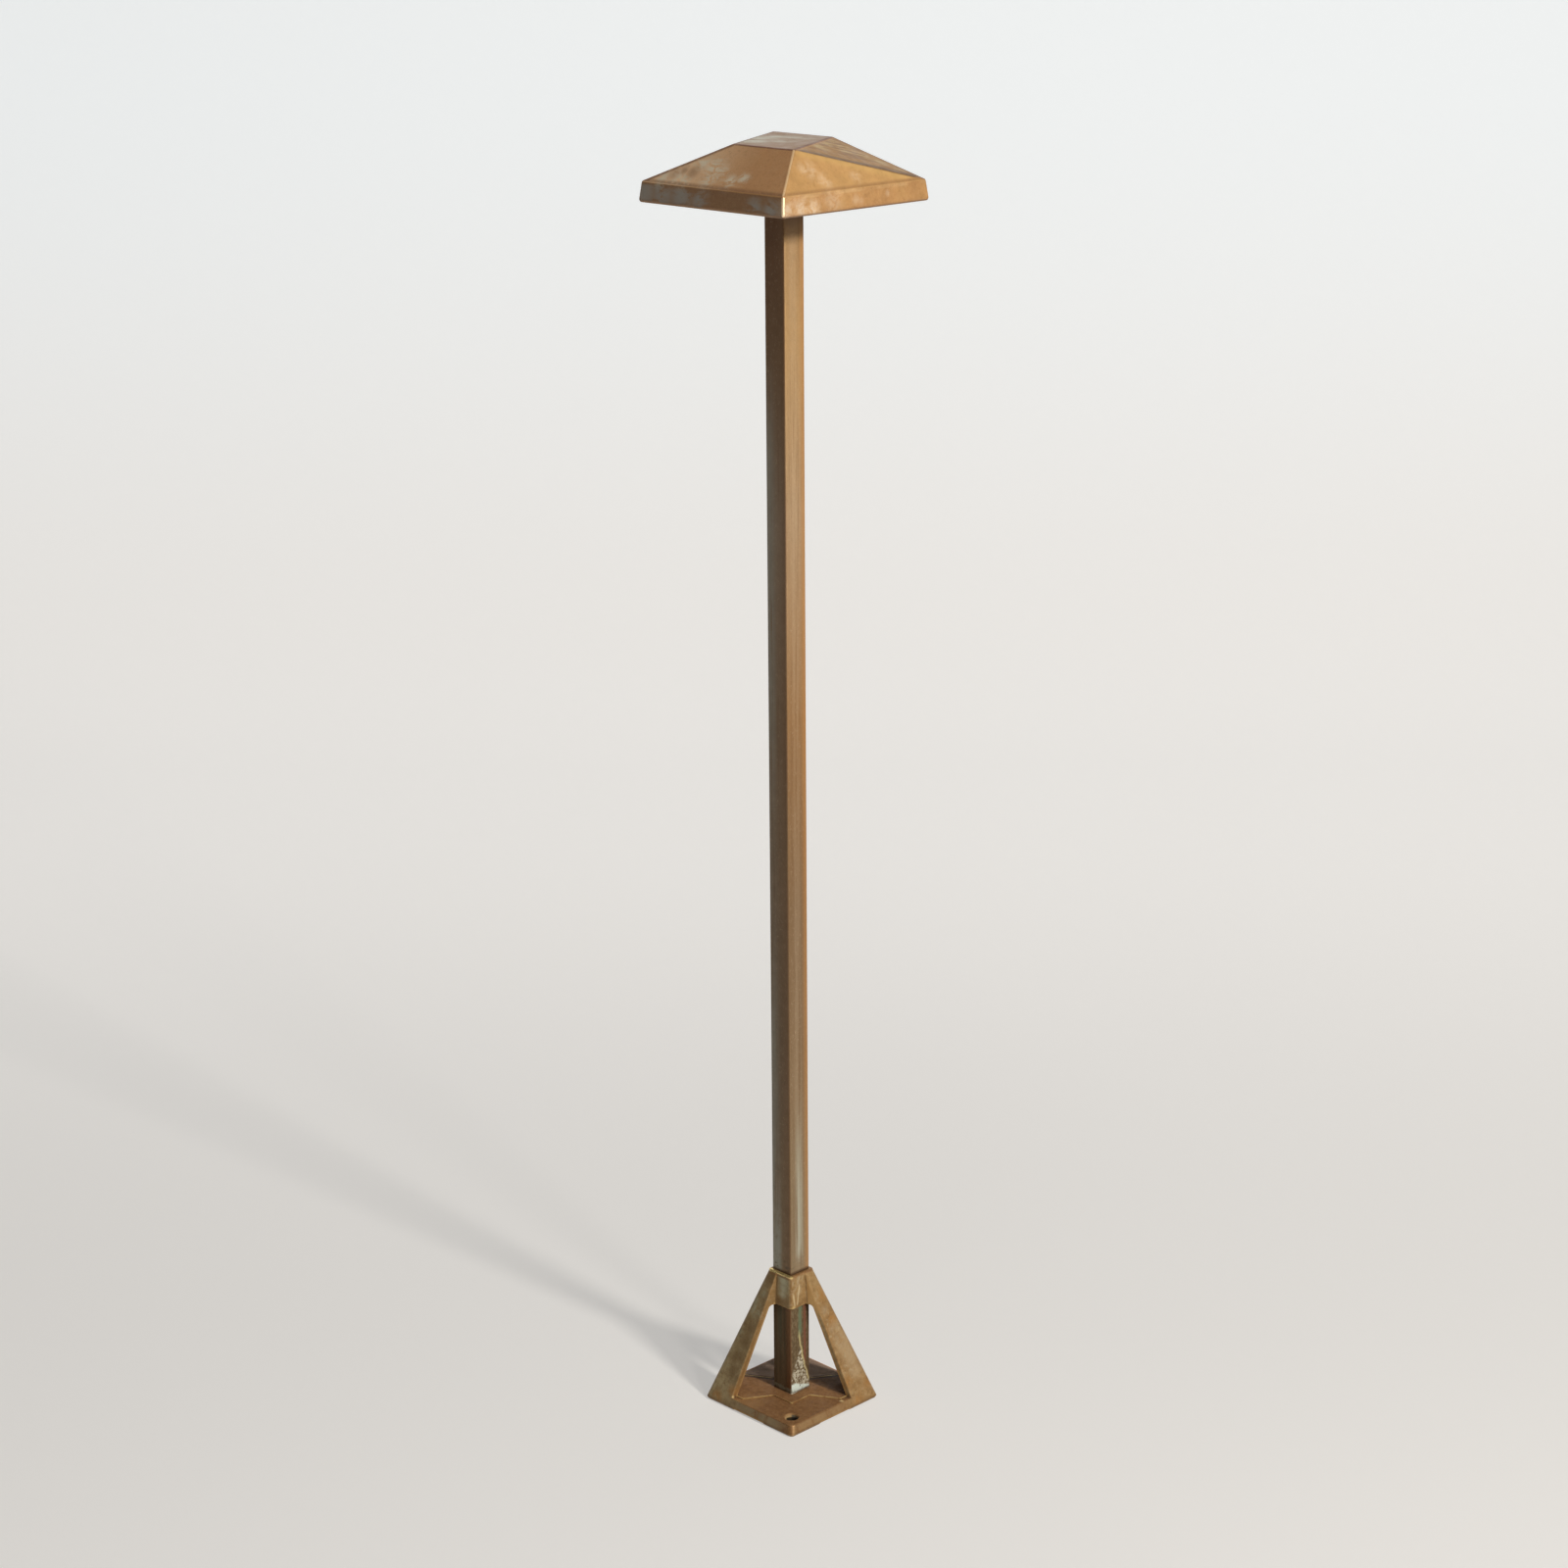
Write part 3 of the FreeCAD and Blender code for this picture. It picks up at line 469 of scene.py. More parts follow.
    # Edges: tarnished hips and brink of the flat top, painted highlights on the near hip and the rim's near
    # corner
    roofs = nodes.band(nodes.z, EAVE + 0.1, EAVE + 0.9, HAT_TOP - 0.2, HAT_TOP - 0.05)
    hips = nodes.most(nodes.times(nodes.along(EAVE_LEFT, TOP_LEFT, 3.6), nodes.span(nodes.x, 2, -3)),
                      nodes.times(nodes.along(EAVE_RIGHT, TOP_RIGHT, 4.2), nodes.span(nodes.y, 16, 24)))
    brink = nodes.most(nodes.along(TOP_LEFT, TOP_NEAR, 2.6), nodes.along(TOP_NEAR, TOP_RIGHT, 2.6),
                       nodes.along(TOP_BACK, TOP_RIGHT, 5.0), nodes.along(TOP_BACK, TOP_LEFT, 3.0))
    brink = nodes.times(brink, nodes.span(nodes.z, HAT_TOP - 0.8, HAT_TOP - 0.4))
    edges = nodes.most(nodes.arrises(1.5, 0.76, 0.94), nodes.times(hips, roofs), brink)
    # Painted highlights on the rim's near corner and the near hip, broken up by noise
    upright = nodes.times(nodes.toward(NEAR, 0.86, 0.95), nodes.span(nodes.z, EAVE + 0.5, EAVE - 0.5))
    hip = nodes.times(nodes.toward(NEAR_HIP, 0.92, 0.97), nodes.span(nodes.z, EAVE + 0.1, EAVE + 0.7))
    patchy_glint = nodes.span(nodes.noise(2.2, 6, 0.72, shift=(9, 2, 2)), 0.26, 0.48)
    edges = nodes.times(edges, nodes.minus(1.0, nodes.most(upright, hip)))
    bright = nodes.times(upright, patchy_glint)
    colour = nodes.paint(colour, (0.92, 0.68, 0.40), hip, patchy_glint, 0.6)
    patina = nodes.most(bloom, rim, pale_top, spots)
    brass_surface(nodes, colour, edges, (0.20, 0.080, 0.048), bright, (0.98, 0.79, 0.52), 0.7, patina, 0.4)
    return nodes.material


def post_brass():
    """Post: golden at the top, browner lower down, greyer on its left, with a stained foot end."""
    nodes = Nodes("post_brass")
    streaks = nodes.noise(2.2, 6, 0.62, stretch=(1, 1, 0.03), shift=(2, 2, 2))
    specks = nodes.noise(0.9, 7, 0.78, stretch=(1, 1, 0.6), shift=(5, 5, 5))
    ragged = nodes.noise(2.4, 8, 0.75, stretch=(1, 1, 0.4), shift=(6, 1, 1))
    flakes = nodes.noise(1.5, 8, 0.75, shift=(3, 6, 1), twist=0.4)
    level = nodes.math("DIVIDE", nodes.z, TONES_HEIGHT)
    aside = nodes.span(nodes.size(nodes.parts(nodes.facing)[1]), 0.55, 0.85)
    ahead = nodes.minus(1.0, aside)
    # Lit and shaded copies painted by which way the faces look
    colour = nodes.mix(aside, nodes.ramp(level, SUNNY), nodes.ramp(level, SHADY))
    colour = nodes.paint(colour, (0.17, 0.085, 0.036), nodes.span(streaks, 0.52, 0.32, 0.0, 0.3))
    colour = nodes.paint(colour, (0.64, 0.49, 0.32), nodes.span(specks, 0.54, 0.70, 0.0, 0.35))
    colour = nodes.paint(colour, (0.20, 0.11, 0.05), nodes.span(specks, 0.46, 0.32, 0.0, 0.3))
    # Left side: grey along its outer edge, brown beside the near arris
    grey = nodes.times(aside, nodes.span(nodes.x, 1.0, -5.2), nodes.span(nodes.z, 530, 460),
                       nodes.span(streaks, 0.28, 0.50), nodes.stripe(nodes.z, 270, 90, 20, 1.0, 0.4))
    colour = nodes.paint(colour, (0.36, 0.340, 0.285), grey, 0.75)
    colour = nodes.paint(colour, (0.20, 0.110, 0.050), aside, nodes.span(nodes.x, 0.0, 5.6), 0.6)
    # Right side: paler middle, orange outer edge
    soft = nodes.times(ahead, nodes.stripe(nodes.y, -1.0, 3.6, 0.8))
    colour = nodes.paint(colour, (0.62, 0.48, 0.33), soft, nodes.span(streaks, 0.36, 0.62), 0.15)
    colour = nodes.paint(colour, (0.50, 0.235, 0.070), ahead, nodes.span(nodes.y, 1.8, 5.6), 0.6)
    # Grey-green and dark rings above the collar
    middle = nodes.times(ahead, nodes.stripe(nodes.y, -0.4, 3.4, 0.6), nodes.band(nodes.z, 73, 82, 95, 170))
    patch = nodes.times(aside, nodes.span(nodes.x, 1.2, -1.8), nodes.span(nodes.z, 125, 78))
    green = nodes.most(nodes.times(middle, nodes.span(streaks, 0.30, 0.52)),
                       nodes.times(patch, nodes.span(ragged, 0.30, 0.52)))
    colour = nodes.paint(colour, (0.46, 0.46, 0.37), green, 0.65)
    rings = nodes.noise(1.3, 6, 0.7, stretch=(0.35, 0.35, 1), shift=(2, 8, 1), twist=0.6)
    stain = nodes.times(nodes.span(nodes.z, 81, 73), nodes.span(rings, 0.52, 0.62),
                        nodes.span(ahead, 0.0, 1.0, 1.0, 0.4))
    colour = nodes.paint(colour, (0.12, 0.085, 0.05), stain, 0.7)
    # Below the collar, left side: dark, with a mossy streak and a brown arris
    dim = nodes.mix(nodes.span(streaks, 0.30, 0.70), (0.116, 0.083, 0.045), (0.197, 0.140, 0.079))
    mossy = nodes.times(nodes.stripe(nodes.x, -1.6, 2.4, 0.6), nodes.span(nodes.z, 26, 38))
    dim = nodes.paint(dim, (0.14, 0.14, 0.09), mossy, 0.5)
    dim = nodes.paint(dim, (0.22, 0.105, 0.042), nodes.span(nodes.x, 1.2, 4.8), 0.8)
    # Below the collar, right side: a green and yellow run that falls outward past a pale crust
    lit = nodes.mix(nodes.span(specks, 0.40, 0.62), (0.135, 0.086, 0.042), (0.26, 0.190, 0.105))
    red = nodes.times(nodes.stripe(nodes.y, 2.9, 1.1, 0.4), nodes.span(nodes.z, 16, 22))
    lit = nodes.paint(lit, (0.30, 0.115, 0.070), red, 0.75)
    lit = nodes.paint(lit, (0.13, 0.075, 0.038), nodes.span(nodes.y, 4.0, 5.6), 0.7)
    drift = nodes.math("DIVIDE", nodes.minus(RUN_TOP, nodes.z), RUN_FALL, clamp=True)
    drift = nodes.times(nodes.math("POWER", drift, RUN_CURVE), RUN_DRIFT)
    drift = nodes.plus(drift, nodes.span(nodes.noise(5.0, 3, 0.5), 0.3, 0.7, -1.0, -0.2))
    past = nodes.minus(nodes.y, drift)
    green_run = nodes.times(nodes.stripe(past, 0.4, 1.6, 0.6), nodes.span(nodes.z, 33, 38),
                            nodes.span(ragged, 0.30, 0.48))
    lit = nodes.paint(lit, (0.20, 0.25, 0.15), green_run, 0.85)
    crust = nodes.span(nodes.minus(nodes.z, nodes.times(nodes.y, CRUST_SLANT)), 31.5, 27.0)
    crust = nodes.times(crust, nodes.span(past, 0.2, -0.6), nodes.span(flakes, 0.47, 0.54))
    lit = nodes.paint(lit, (0.64, 0.60, 0.46), crust, 0.85)
    gold = nodes.times(nodes.stripe(past, 0.0, 0.8, 0.2), nodes.band(nodes.z, 8.5, 11.0, 35, 40))
    lit = nodes.paint(lit, (0.70, 0.60, 0.30), gold, 0.85)
    colour = nodes.mix(nodes.span(nodes.z, 53.5, 51.0), colour, nodes.mix(ahead, dim, lit))
    # Verdigris round the foot end, and painted contact shade where it meets the seat
    crest = nodes.times(nodes.noise(2.4, 5, 0.6, shift=(2, 3, 3)), VERDIGRIS_RAGGED)
    crest = nodes.minus(nodes.z, crest)
    tilted = nodes.plus(crest, nodes.times(nodes.y, VERDIGRIS_SLANT))
    verdigris = nodes.times(ahead, nodes.span(tilted, 8.2, 7.2), nodes.span(flakes, 0.38, 0.45))
    colour = nodes.paint(colour, (0.72, 0.82, 0.75), verdigris, 0.95)
    fringe = nodes.times(aside, nodes.span(crest, 7.6, 6.4), nodes.span(flakes, 0.38, 0.52))
    colour = nodes.paint(colour, (0.33, 0.34, 0.26), fringe, 0.8)
    colour = nodes.paint(colour, (0.05, 0.035, 0.025),
                         nodes.span(nodes.z, SEAT_TOP + 1.2, SEAT_TOP + 0.4, 0.0, 0.8))
    # Dark where it meets the collar, painted shade in hollows, and a painted shadow under the hat on its
    # right face
    joint = nodes.band(nodes.z, COLLAR_TOP - 1.5, COLLAR_TOP - 0.5, COLLAR_TOP + 0.5, COLLAR_TOP + 2.1)
    colour = nodes.paint(colour, (0.09, 0.045, 0.02), joint, 0.85)
    colour = nodes.paint(colour, (0.07, 0.045, 0.025), nodes.hollows(5.0), 0.5)
    # Painted shadow of the hat on the post's right face
    colour = nodes.paint(colour, (0.17, 0.096, 0.050), ahead, nodes.span(nodes.z, 567, 580), 0.80)
    edges = nodes.arrises(0.95, 0.62, 0.88)
    bright = nodes.times(nodes.span(edges, 0.3, 0.8), nodes.nearest((6, -6, 7, 5), (6, -6, 12, 4)))
    patina = nodes.most(verdigris, crust, nodes.times(nodes.most(grey, green), 0.6))
    brass_surface(nodes, colour, nodes.times(edges, 0.5), (0.34, 0.175, 0.075), bright, (0.86, 0.84, 0.70),
                  0.6, patina, 0.3)
    return nodes.material


def foot_brass():
    """Foot: olive brown left, golden right, red-brown plate, a painted highlight along the collar's rim."""
    nodes = Nodes("foot_brass")
    clouds = nodes.noise(9.0, 6, 0.65, shift=(3, 3, 1))
    fine = nodes.noise(1.9, 8, 0.8, shift=(1, 6, 2))
    ragged = nodes.noise(4.0, 8, 0.72, stretch=(1, 1, 0.5), shift=(8, 1, 1), twist=0.5)
    blotch = nodes.noise(3.2, 7, 0.7, shift=(2, 2, 6), twist=0.4)
    edges = nodes.arrises(1.3, 0.68, 0.92)
    left = nodes.toward((0, -1, 0.3), 0.7, 0.95)
    right = nodes.toward((1, 0, 0.3), 0.7, 0.95)
    # Ground tone
    colour = nodes.mix(nodes.span(clouds, 0.36, 0.64), (0.29, 0.160, 0.060), (0.43, 0.275, 0.125))
    colour = nodes.paint(colour, (0.310, 0.250, 0.136), left, 0.60)
    colour = nodes.paint(colour, (0.36, 0.210, 0.082), right, 0.5)
    colour = nodes.paint(colour, (0.42, 0.270, 0.115), right, nodes.span(nodes.z, 46, 56), 0.5)
    colour = nodes.paint(colour, (0.56, 0.40, 0.20), nodes.span(fine, 0.50, 0.70, 0.0, 0.5))
    colour = nodes.paint(colour, (0.15, 0.072, 0.025), nodes.span(fine, 0.49, 0.30, 0.0, 0.7))
    colour = nodes.paint(colour, (0.22, 0.130, 0.050), nodes.span(blotch, 0.53, 0.63, 0.0, 0.45))
    colour = nodes.paint(colour, (0.50, 0.40, 0.24), nodes.span(blotch, 0.46, 0.37, 0.0, 0.45))
    inner = nodes.times(nodes.toward((1, 0, 0.1), 0.6, 0.9), nodes.span(nodes.x, 0.0, -4.0))
    colour = nodes.paint(colour, (0.22, 0.125, 0.045), inner, 0.45)
    # Legs: dull, mossy and olive patches on the left one, a pale stretch on the right one, amber on both
    dull = nodes.nearest(
        (-4.4, -10.5, 66, 6), (-4, -13.5, 57, 5), (-6, -17, 45, 6), (-11, -18.5, 40, 7),
        (-12, -20.5, 33, 7), (-15, -23, 25, 8), (-16, -25.5, 17, 7))
    colour = nodes.paint(colour, (0.200, 0.125, 0.053), dull, left, nodes.span(clouds, 0.30, 0.50), 0.8)
    moss = nodes.nearest(
        (-9.5, -15.5, 49, 6), (-12, -14.7, 53, 5), (-7.2, -12.8, 58.5, 4), (-17, -20, 36, 4),
        (-22, -24.5, 20, 4))
    moss = nodes.times(moss, left, nodes.span(ragged, 0.40, 0.56))
    colour = nodes.paint(colour, (0.41, 0.390, 0.260), moss, 0.85)
    olive = nodes.nearest((-21, -22, 28, 7), (-24, -25, 16, 9), (-20, -27.5, 9, 10), (-27, -28, 6, 8))
    colour = nodes.paint(colour, (0.47, 0.370, 0.200), olive, left, nodes.span(fine, 0.36, 0.60), 0.75)
    chalk = nodes.nearest(
        (18.4, 12, 39, 6), (20, 13.7, 34, 7), (21.2, 15.2, 30, 8), (22.3, 16.7, 26, 8),
        (23.6, 17.9, 22, 8), (25, 19, 17, 7), (15.6, 8.2, 49, 4))
    chalk = nodes.times(chalk, right, nodes.span(ragged, 0.28, 0.52))
    colour = nodes.paint(colour, (0.385, 0.292, 0.178), chalk, 0.60)
    amber = nodes.nearest(
        (13.2, 9, 57, 7), (17, 11.8, 44.5, 6), (22.4, 21.8, 27, 4), (28, 25.6, 9, 5), (30, 15.8, 2.5, 6),
        (26.6, 12.3, 13, 5), (-23, -29.9, 2.6, 7), (-13, -28, 8.5, 5), (-2, -12, 60.5, 4))
    amber = nodes.times(amber, nodes.most(left, right), nodes.span(ragged, 0.64, 0.44))
    colour = nodes.paint(colour, (0.43, 0.205, 0.058), amber, 0.65)
    # Collar: grey-green above brown on its left face, pale runs on its right face, painted light on a
    # gusset that lies in shade
    grey = nodes.times(nodes.nearest((3, -9.2, 66, 5), (2.5, -9.2, 62, 5), (2, -9.2, 59, 4)),
                       nodes.span(ragged, 0.30, 0.50), nodes.toward(LEFT, 0.8, 0.97))
    colour = nodes.paint(colour, (0.68, 0.67, 0.47), grey, 0.85)
    brown = nodes.nearest((5, -9.2, 55, 5), (0, -9.2, 54.5, 5), (-4.2, -10.2, 66, 6))
    colour = nodes.paint(colour, (0.21, 0.125, 0.050), brown, left, 0.6)
    smear = nodes.noise(2.6, 7, 0.7, stretch=(1, 1, 0.3), shift=(5, 5, 2), turn=(18, 0, 0))
    pale = nodes.nearest((9.2, -4.5, 66, 5), (9.2, -4, 62, 5), (9.2, -2, 67, 4))
    colour = nodes.paint(colour, (0.60, 0.52, 0.36), pale, right, nodes.span(smear, 0.46, 0.60), 0.7)
    wall = nodes.times(right, nodes.band(nodes.x, 7.4, 7.7, 8.3, 8.6))
    for start, lean, top in COLLAR_RUNS:
        run = nodes.minus(nodes.y, nodes.times(nodes.minus(COLLAR_RUNS_LEVEL, nodes.z), lean))
        run = nodes.times(nodes.stripe(run, start, 0.7, 0.2), wall,
                          nodes.band(nodes.z, 53.0, 54.5, top - 2.0, top))
        colour = nodes.paint(colour, (0.74, 0.60, 0.36), run, 0.6)
    # Painted light on the right leg's gusset, to lift its shade
    lit_gusset = nodes.times(nodes.toward((0, -1, 0.1), 0.6, 0.9), nodes.span(nodes.x, 8.2, 8.8),
                         nodes.span(nodes.z, 44, 52))
    colour = nodes.paint(colour, (0.62, 0.38, 0.15), lit_gusset, 0.8)
    # Plate: red-brown on top, green on its left side, a dark line along its brim
    tilt = nodes.plus(nodes.x, nodes.y)
    reach = nodes.most(nodes.size(nodes.x), nodes.size(nodes.y))
    flat = nodes.times(nodes.span(nodes.z, SEAT_TOP + 0.9, SEAT_TOP + 0.2), nodes.toward(UP, 0.5, 0.9))
    side = nodes.times(nodes.span(nodes.z, SEAT_TOP + 0.9, SEAT_TOP - 0.1), nodes.stripe(tilt, 0.0, 44, 30))
    umber = nodes.mix(nodes.span(fine, 0.3, 0.7), (0.180, 0.084, 0.033), (0.31, 0.156, 0.061))
    colour = nodes.paint(colour, umber, nodes.most(flat, side), 0.9)
    colour = nodes.paint(colour, (0.40, 0.225, 0.090), nodes.near((-4, -27, 5.2), 11, 3), flat, 0.4)
    ruddy = nodes.times(side, nodes.toward(RIGHT, 0.6, 0.9), nodes.span(ragged, 0.30, 0.56))
    colour = nodes.paint(colour, (0.40, 0.265, 0.125), ruddy, 0.55)
    lichen = nodes.times(side, nodes.toward(LEFT, 0.6, 0.9), nodes.span(ragged, 0.34, 0.54),
                         nodes.span(nodes.x, 29, 16))
    colour = nodes.paint(colour, (0.34, 0.270, 0.160), lichen, 0.70)
    brim = nodes.times(nodes.band(reach, 28.4, 29.5, 30.3, 30.6), side, nodes.span(nodes.z, 4.5, 4.9))
    colour = nodes.paint(colour, (0.12, 0.054, 0.028), brim, 0.65)
    # Far side of the seat: a painted shadow line along its edge, a duller plate beyond it, ruddy at the far
    # brim, and painted shadows beside the post
    sideways = nodes.size(nodes.times(tilt, DIAGONAL))
    beyond = nodes.times(nodes.minus(nodes.y, nodes.x), DIAGONAL)
    beyond = nodes.minus(beyond, nodes.times(sideways, SEAT_SLANT))
    far = nodes.times(flat, nodes.span(beyond, 6.6, 7.1))
    colour = nodes.paint(colour, (0.42, 0.300, 0.225), far, 0.8)
    outer = nodes.most(nodes.times(nodes.x, -1.0), nodes.y)
    colour = nodes.paint(colour, (0.85, 0.42, 0.24), far, nodes.span(outer, 27.6, 28.8), 0.8)
    # Painted shadows of the right leg and of the post on the plate
    painted_shadow = nodes.most(nodes.times(nodes.span(nodes.y, 9.2, 11.2), nodes.span(nodes.x, -1.0, 3.0)),
                      nodes.times(nodes.span(nodes.y, -7.4, -5.6), nodes.span(nodes.x, -5.8, -6.6)))
    colour = nodes.paint(colour, (0.04, 0.026, 0.022), painted_shadow, flat, nodes.span(beyond, 7.1, 6.6), 0.4)
    # Painted shadow at the foot of the seat's far step
    step_shadow = nodes.times(flat, nodes.band(beyond, 4.2, 5.0, 8.2, 9.0))
    colour = nodes.paint(colour, (0.05, 0.026, 0.014), step_shadow, 0.85)
    # Painted shade in hollows
    colour = nodes.paint(colour, (0.08, 0.045, 0.024), nodes.hollows(4.0, 0.3, 0.85), 0.6)
    # Near hole: a grey wall, with painted light on its left wall and a painted black shadow low on its
    # right
    bore = nodes.times(nodes.near(HOLE, 4.9, 4.3), nodes.span(nodes.z, 5.0, 4.4))
    colour = nodes.paint(colour, (0.17, 0.155, 0.115), bore, 0.9)
    colour = nodes.paint(colour, (0.66, 0.44, 0.20), bore, nodes.span(tilt, 0.6, -0.6), 0.95)
    hole_shadow = nodes.times(bore, nodes.span(nodes.z, 3.8, 3.1), nodes.span(tilt, -4.2, -3.2))
    colour = nodes.paint(colour, (0.012, 0.008, 0.005), hole_shadow, 0.95)
    # Painted shade low down near the floor
    colour = nodes.paint(colour, (0.10, 0.055, 0.024), nodes.span(nodes.z, 2.4, 0.8), 0.55)
    # Collar's top: a ruddy ledge on the right, a painted yellow highlight on the rim over a brown lip on
    # the left
    ledge = nodes.times(nodes.span(nodes.z, COLLAR_TOP - 1.1, COLLAR_TOP - 0.5),
                        nodes.span(nodes.x, 5.8, 6.6), nodes.span(nodes.y, -7.5, -5.5))
    colour = nodes.paint(colour, (0.26, 0.11, 0.05), ledge, 0.6)
    lip = nodes.times(
        nodes.band(nodes.z, COLLAR_TOP - 2.3, COLLAR_TOP - 1.5, COLLAR_TOP - 0.8, COLLAR_TOP - 0.4),
        nodes.span(nodes.y, -7.2, -7.6))
    colour = nodes.paint(colour, (0.24, 0.125, 0.048), lip, 0.7)
    rim = nodes.times(nodes.span(nodes.z, COLLAR_TOP - 0.9, COLLAR_TOP - 0.4),
                      nodes.span(nodes.y, -6.2, -6.8))
    colour = nodes.paint(colour, (0.95, 0.76, 0.30), rim, nodes.span(fine, 0.40, 0.55), 0.8)
    # Bright edges, worn metal with painted highlights: that rim, the seat's step and wings, and painted
    # glints at small ends
    wings = nodes.most(nodes.span(sideways, 8.5, 11.0), nodes.span(sideways, 1.2, 0.4),
                       nodes.span(tilt, 6.0, 8.5))
    step = nodes.times(nodes.band(nodes.z, SEAT_TOP - 0.7, SEAT_TOP - 0.4, SEAT_TOP + 0.2, SEAT_TOP + 0.6),
                       nodes.span(reach, 28.6, 27.2), nodes.span(edges, 0.35, 0.75),
                       nodes.span(wings, 0.0, 1.0, 0.25, 1.0))
    ends = nodes.nearest((-9, -28.5, 6, 4), (27, 7, 6, 4), (9, -9, 53, 4), (-1, -11, 53, 3))
    bright = nodes.most(rim, nodes.times(ends, nodes.span(edges, 0.2, 0.6)),
                        nodes.times(nodes.span(edges, 0.55, 0.95), 0.22), nodes.times(step, 0.6))
    bright = nodes.times(bright, nodes.span(nodes.noise(2.2, 6, 0.72, shift=(9, 2, 2)), 0.30, 0.52))
    # Painted glints on the seat's ends, the collar's near corner and the plate's near corner
    sparks = nodes.nearest(
        (27.6, 6.9, 5.7, 1.6), (-12.3, -28.3, 5.7, 1.1), (7.5, -7.5, 69.2, 1.4), (30.1, -30.1, 4.6, 1.3))
    colour = nodes.paint(colour, (1.0, 0.80, 0.40), sparks, 0.9)
    # Painted glints on the collar's foot
    gleam = nodes.nearest((8.0, -6.2, 52.5, 1.9), (-3.7, -8.3, 52.2, 1.6))
    colour = nodes.paint(colour, (0.84, 0.64, 0.28), gleam, 0.7)
    patina = nodes.most(moss, chalk, grey, lichen, nodes.times(flat, 0.75))
    edges = nodes.times(edges, nodes.minus(1.0, brim))
    brass_surface(nodes, colour, edges, (0.32, 0.145, 0.052), bright, (0.96, 0.74, 0.32), 0.9, patina, 0.2)
    return nodes.material


def plain(name, light, dark, size, rough, depth, metal, through):
    """A finish of two close tones with a fine grain and painted shade in hollows."""
    nodes = Nodes(name, metallic=metal, transmission_weight=through)
    grain = nodes.noise(size * GRAIN_SHARE, 4, shift=(4, 2, 9))
    colour = nodes.mix(nodes.span(nodes.noise(size), 0.3, 0.7), dark, light)
    shade = [HOLLOW_SHADE * part for part in dark]
    colour = nodes.paint(colour, shade, nodes.hollows(2.0), HOLLOW_COVER)
    shine = nodes.span(grain, 0.3, 0.7, rough - ROUGH_RANGE, rough + ROUGH_RANGE)
    nodes.surface(base_color=colour, roughness=shine, normal=nodes.bump(grain, 0.3, depth))
    return nodes.material


def slot_materials():
    """One material for each of the record's slots."""
    materials = {"hat_brass": hat_brass(), "post_brass": post_brass(), "foot_brass": foot_brass()}
    for name, finish in PLAIN.items():
        materials[name] = plain(name, *finish)
    return materials


def dress(frame):
    """Gives every CAD node the material of its slot."""
    materials = slot_materials()
    for entry in frame["record"]["subparts"]:
        piece = frame["nodes"][entry["node"]]
        for place in piece.material_slots:
            place.material = materials[entry["material_slot"]]


def sweep():
    """Floor that curves up into a backdrop, behind the object as the camera sees it."""
    heading = math.radians(CAMERA_HEADING)
    along = Vector((-math.sin(heading), math.cos(heading), 0))
    across = Vector((math.cos(heading), math.sin(heading), 0))
    profile = [(SWEEP_FRONT, 0.0), (SWEEP_NEAR, 0.0), (SWEEP_FLOOR, 0.0)]
    for step in range(1, SWEEP_STEPS + 1):
        angle = math.radians(90.0 * step / SWEEP_STEPS)
        profile.append((SWEEP_FLOOR + SWEEP_BEND * math.sin(angle), SWEEP_BEND * (1 - math.cos(angle))))
    profile.append((SWEEP_FLOOR + SWEEP_BEND, SWEEP_TOP))
    points, faces = [], []
    for distance, height in profile:
        width = SWEEP_FRONT_WIDTH if distance == SWEEP_FRONT else SWEEP_WIDTH
        for side in (-width, width):
            points.append(along * distance + across * side + Vector((0, 0, height - SWEEP_DROP)))
    for row in range(len(profile) - 1):
        faces.append((2 * row, 2 * row + 1, 2 * row + 3, 2 * row + 2))
    mesh = bpy.data.meshes.new("backdrop")
    mesh.from_pydata(points, [], faces)
    mesh.polygons.foreach_set("use_smooth", [True] * len(faces))
    piece = bpy.data.objects.new("backdrop", mesh)
    bpy.context.scene.collection.objects.link(piece)
    mesh.materials.append(sweep_material(along))


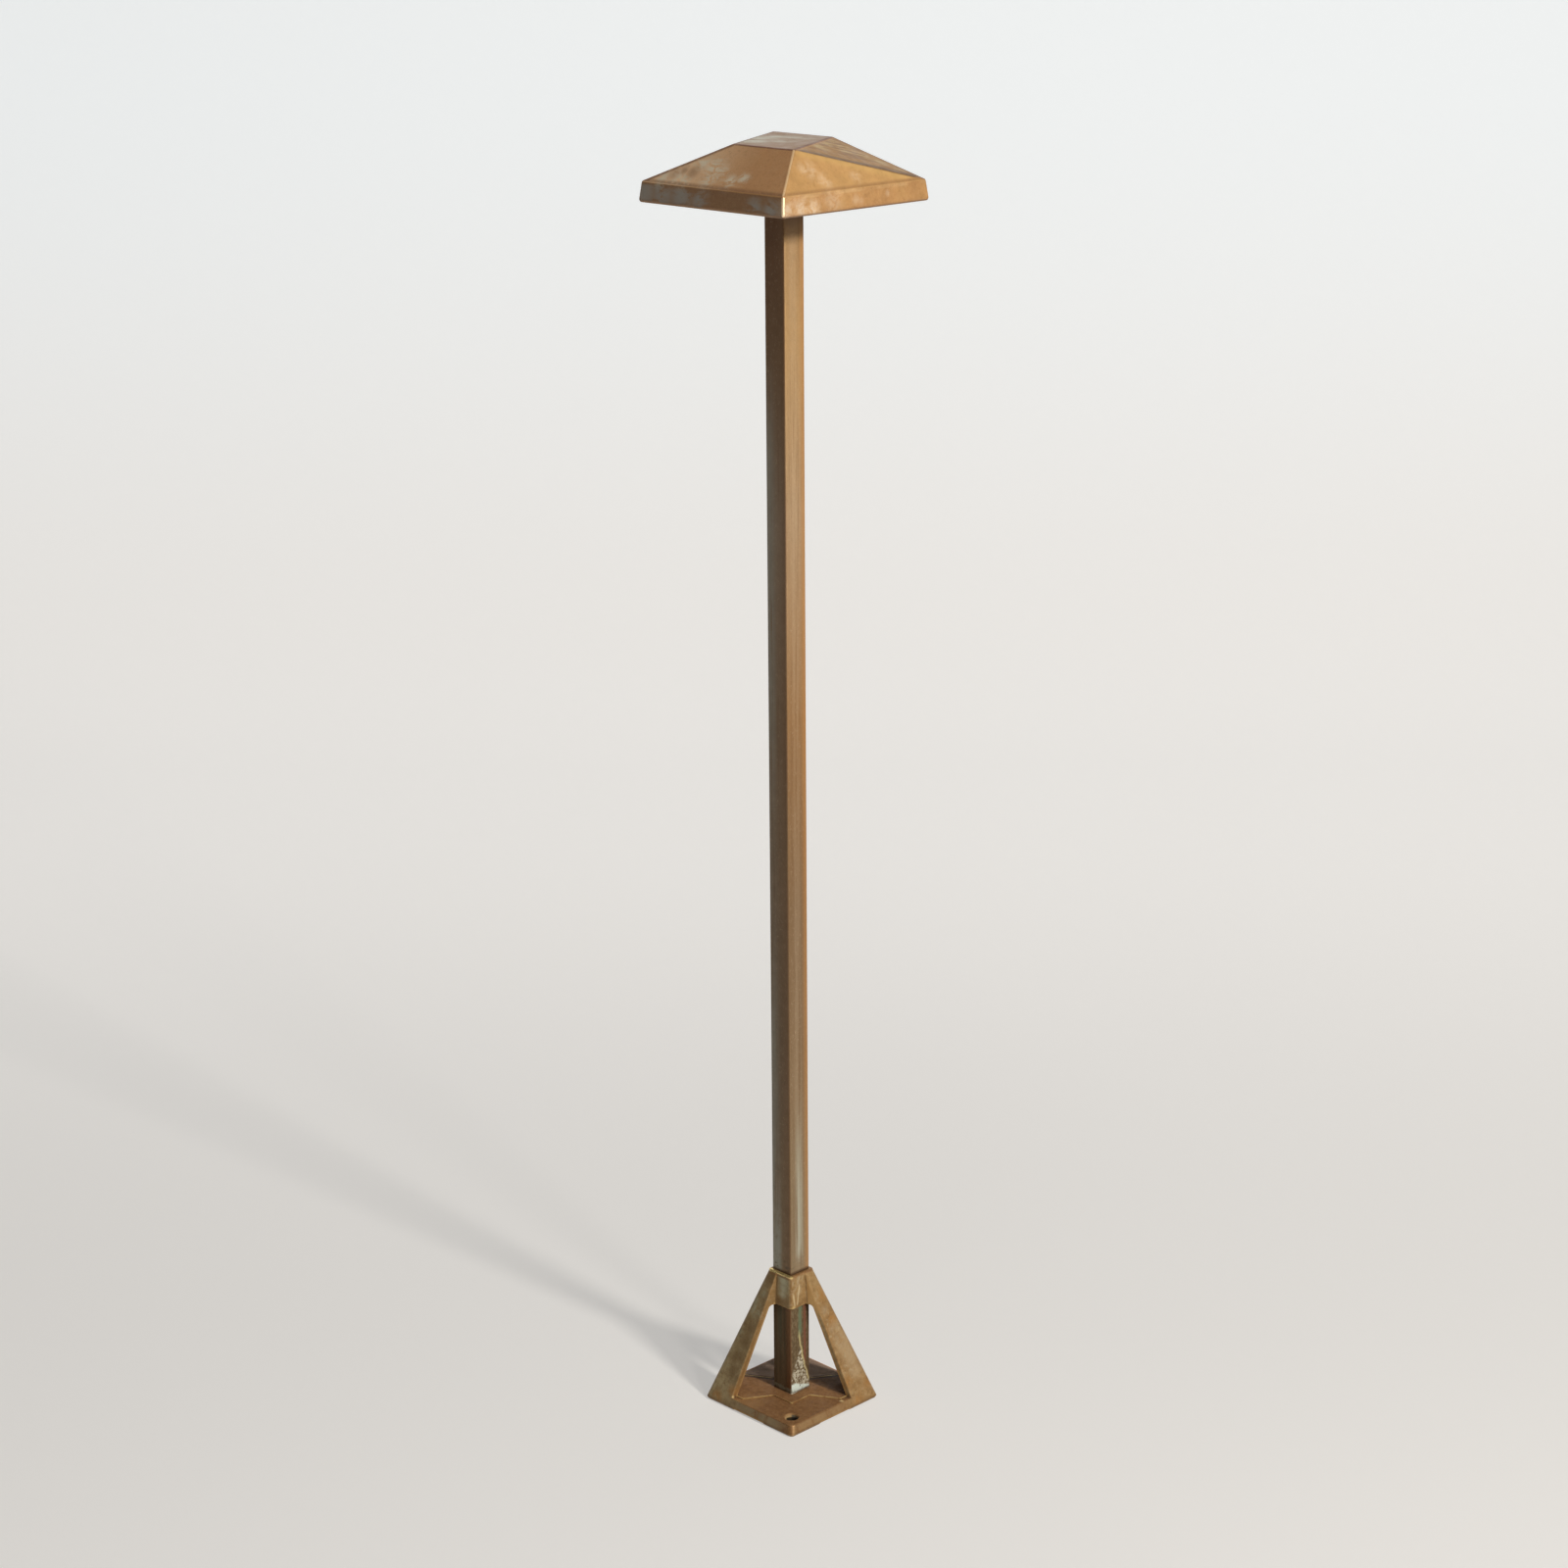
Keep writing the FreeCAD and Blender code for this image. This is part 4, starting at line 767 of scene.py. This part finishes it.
def sweep_material(along):
    """Pale paper that shows its own tone and still takes a soft shadow; lengths in metres."""
    nodes = Nodes("backdrop_paper")
    x, _, z = nodes.parts(nodes.metres)
    run = nodes.add("ShaderNodeVectorMath", operation="DOT_PRODUCT")
    nodes.put(run.inputs[0], nodes.metres)
    run.inputs[1].default_value = along
    travel = nodes.plus(run.outputs["Value"], z)
    colour = nodes.mix(nodes.span(travel, *MIDDLE_RUN), tone(*FLOOR_TONE), tone(*MIDDLE_TONE))
    colour = nodes.mix(nodes.span(travel, *TOP_RUN), colour, tone(*TOP_TONE))
    paper = nodes.add("ShaderNodeBsdfDiffuse")
    nodes.put(paper.inputs["Color"], colour)
    glow = nodes.add("ShaderNodeEmission")
    nodes.put(glow.inputs["Color"], colour)
    path = nodes.add("ShaderNodeLightPath")
    seen = nodes.most(path.outputs["Is Camera Ray"], path.outputs["Is Glossy Ray"],
                      path.outputs["Is Transmission Ray"])
    strength = nodes.span(travel, *GLOW_RUN, GLOW_NEAR, GLOW_FAR)
    nodes.put(glow.inputs["Strength"], nodes.times(seen, strength))
    dim = nodes.add("ShaderNodeMixShader")
    share = nodes.span(x, *LAMPS_RUN, 1.0 - PAPER_SHARE, 1.0 - PAPER_SHARE_LAMPS)
    nodes.put(dim.inputs[0], nodes.times(seen, share))
    nodes.put(dim.inputs[1], paper.outputs[0])
    both = nodes.add("ShaderNodeAddShader")
    nodes.put(both.inputs[0], dim.outputs[0])
    nodes.put(both.inputs[1], glow.outputs[0])
    nodes.put(nodes.output.inputs["Surface"], both.outputs[0])
    nodes.tree.nodes.remove(nodes.shader)
    return nodes.material


def lights():
    """Soft lamps on the right and above, and an even weak sky."""
    for number, (azimuth, elevation, distance, size, power) in enumerate(LAMPS, 1):
        turn, rise = math.radians(azimuth), math.radians(elevation)
        level = math.cos(rise)
        direction = Vector((math.cos(turn) * level, math.sin(turn) * level, math.sin(rise)))
        lamp = bpy.data.lights.new("lamp_%d" % number, "AREA")
        lamp.shape = "DISK"
        lamp.size = size
        lamp.energy = power
        lamp.color = LAMP_TONE
        piece = bpy.data.objects.new(lamp.name, lamp)
        piece.location = Vector(LAMP_AIM) + direction * distance
        piece.rotation_euler = direction.to_track_quat("Z", "Y").to_euler()
        bpy.context.scene.collection.objects.link(piece)
    world = bpy.data.worlds.new("sky")
    bpy.context.scene.world = world
    world.use_nodes = True
    sky = world.node_tree.nodes["Background"]
    sky.inputs["Color"].default_value = (*SKY_TONE, 1.0)
    sky.inputs["Strength"].default_value = SKY_STRENGTH


def camera():
    """Camera at the photograph's place and angle."""
    data = bpy.data.cameras.new("camera")
    data.sensor_width = CAMERA_SENSOR
    data.lens = CAMERA_LENS
    data.clip_start, data.clip_end = CAMERA_CLIP
    piece = bpy.data.objects.new("camera", data)
    turn = Matrix.Rotation(math.radians(CAMERA_HEADING), 4, "Z")
    turn = turn @ Matrix.Rotation(math.radians(90.0 + CAMERA_PITCH), 4, "X")
    turn = turn @ Matrix.Rotation(math.radians(CAMERA_ROLL), 4, "Z")
    piece.matrix_world = Matrix.Translation(CAMERA_PLACE) @ turn
    bpy.context.scene.collection.objects.link(piece)
    bpy.context.scene.camera = piece


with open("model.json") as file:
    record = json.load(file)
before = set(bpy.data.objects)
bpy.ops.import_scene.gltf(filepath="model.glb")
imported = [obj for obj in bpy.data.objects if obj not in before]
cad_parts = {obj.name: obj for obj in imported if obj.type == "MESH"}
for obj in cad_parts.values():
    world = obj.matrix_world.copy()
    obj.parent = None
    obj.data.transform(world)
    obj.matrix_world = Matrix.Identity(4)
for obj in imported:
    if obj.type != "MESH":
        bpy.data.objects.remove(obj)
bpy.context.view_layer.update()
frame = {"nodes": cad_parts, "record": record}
bpy.context.scene.view_settings.view_transform = "Standard"
dress(frame)
sweep()
lights()
camera()
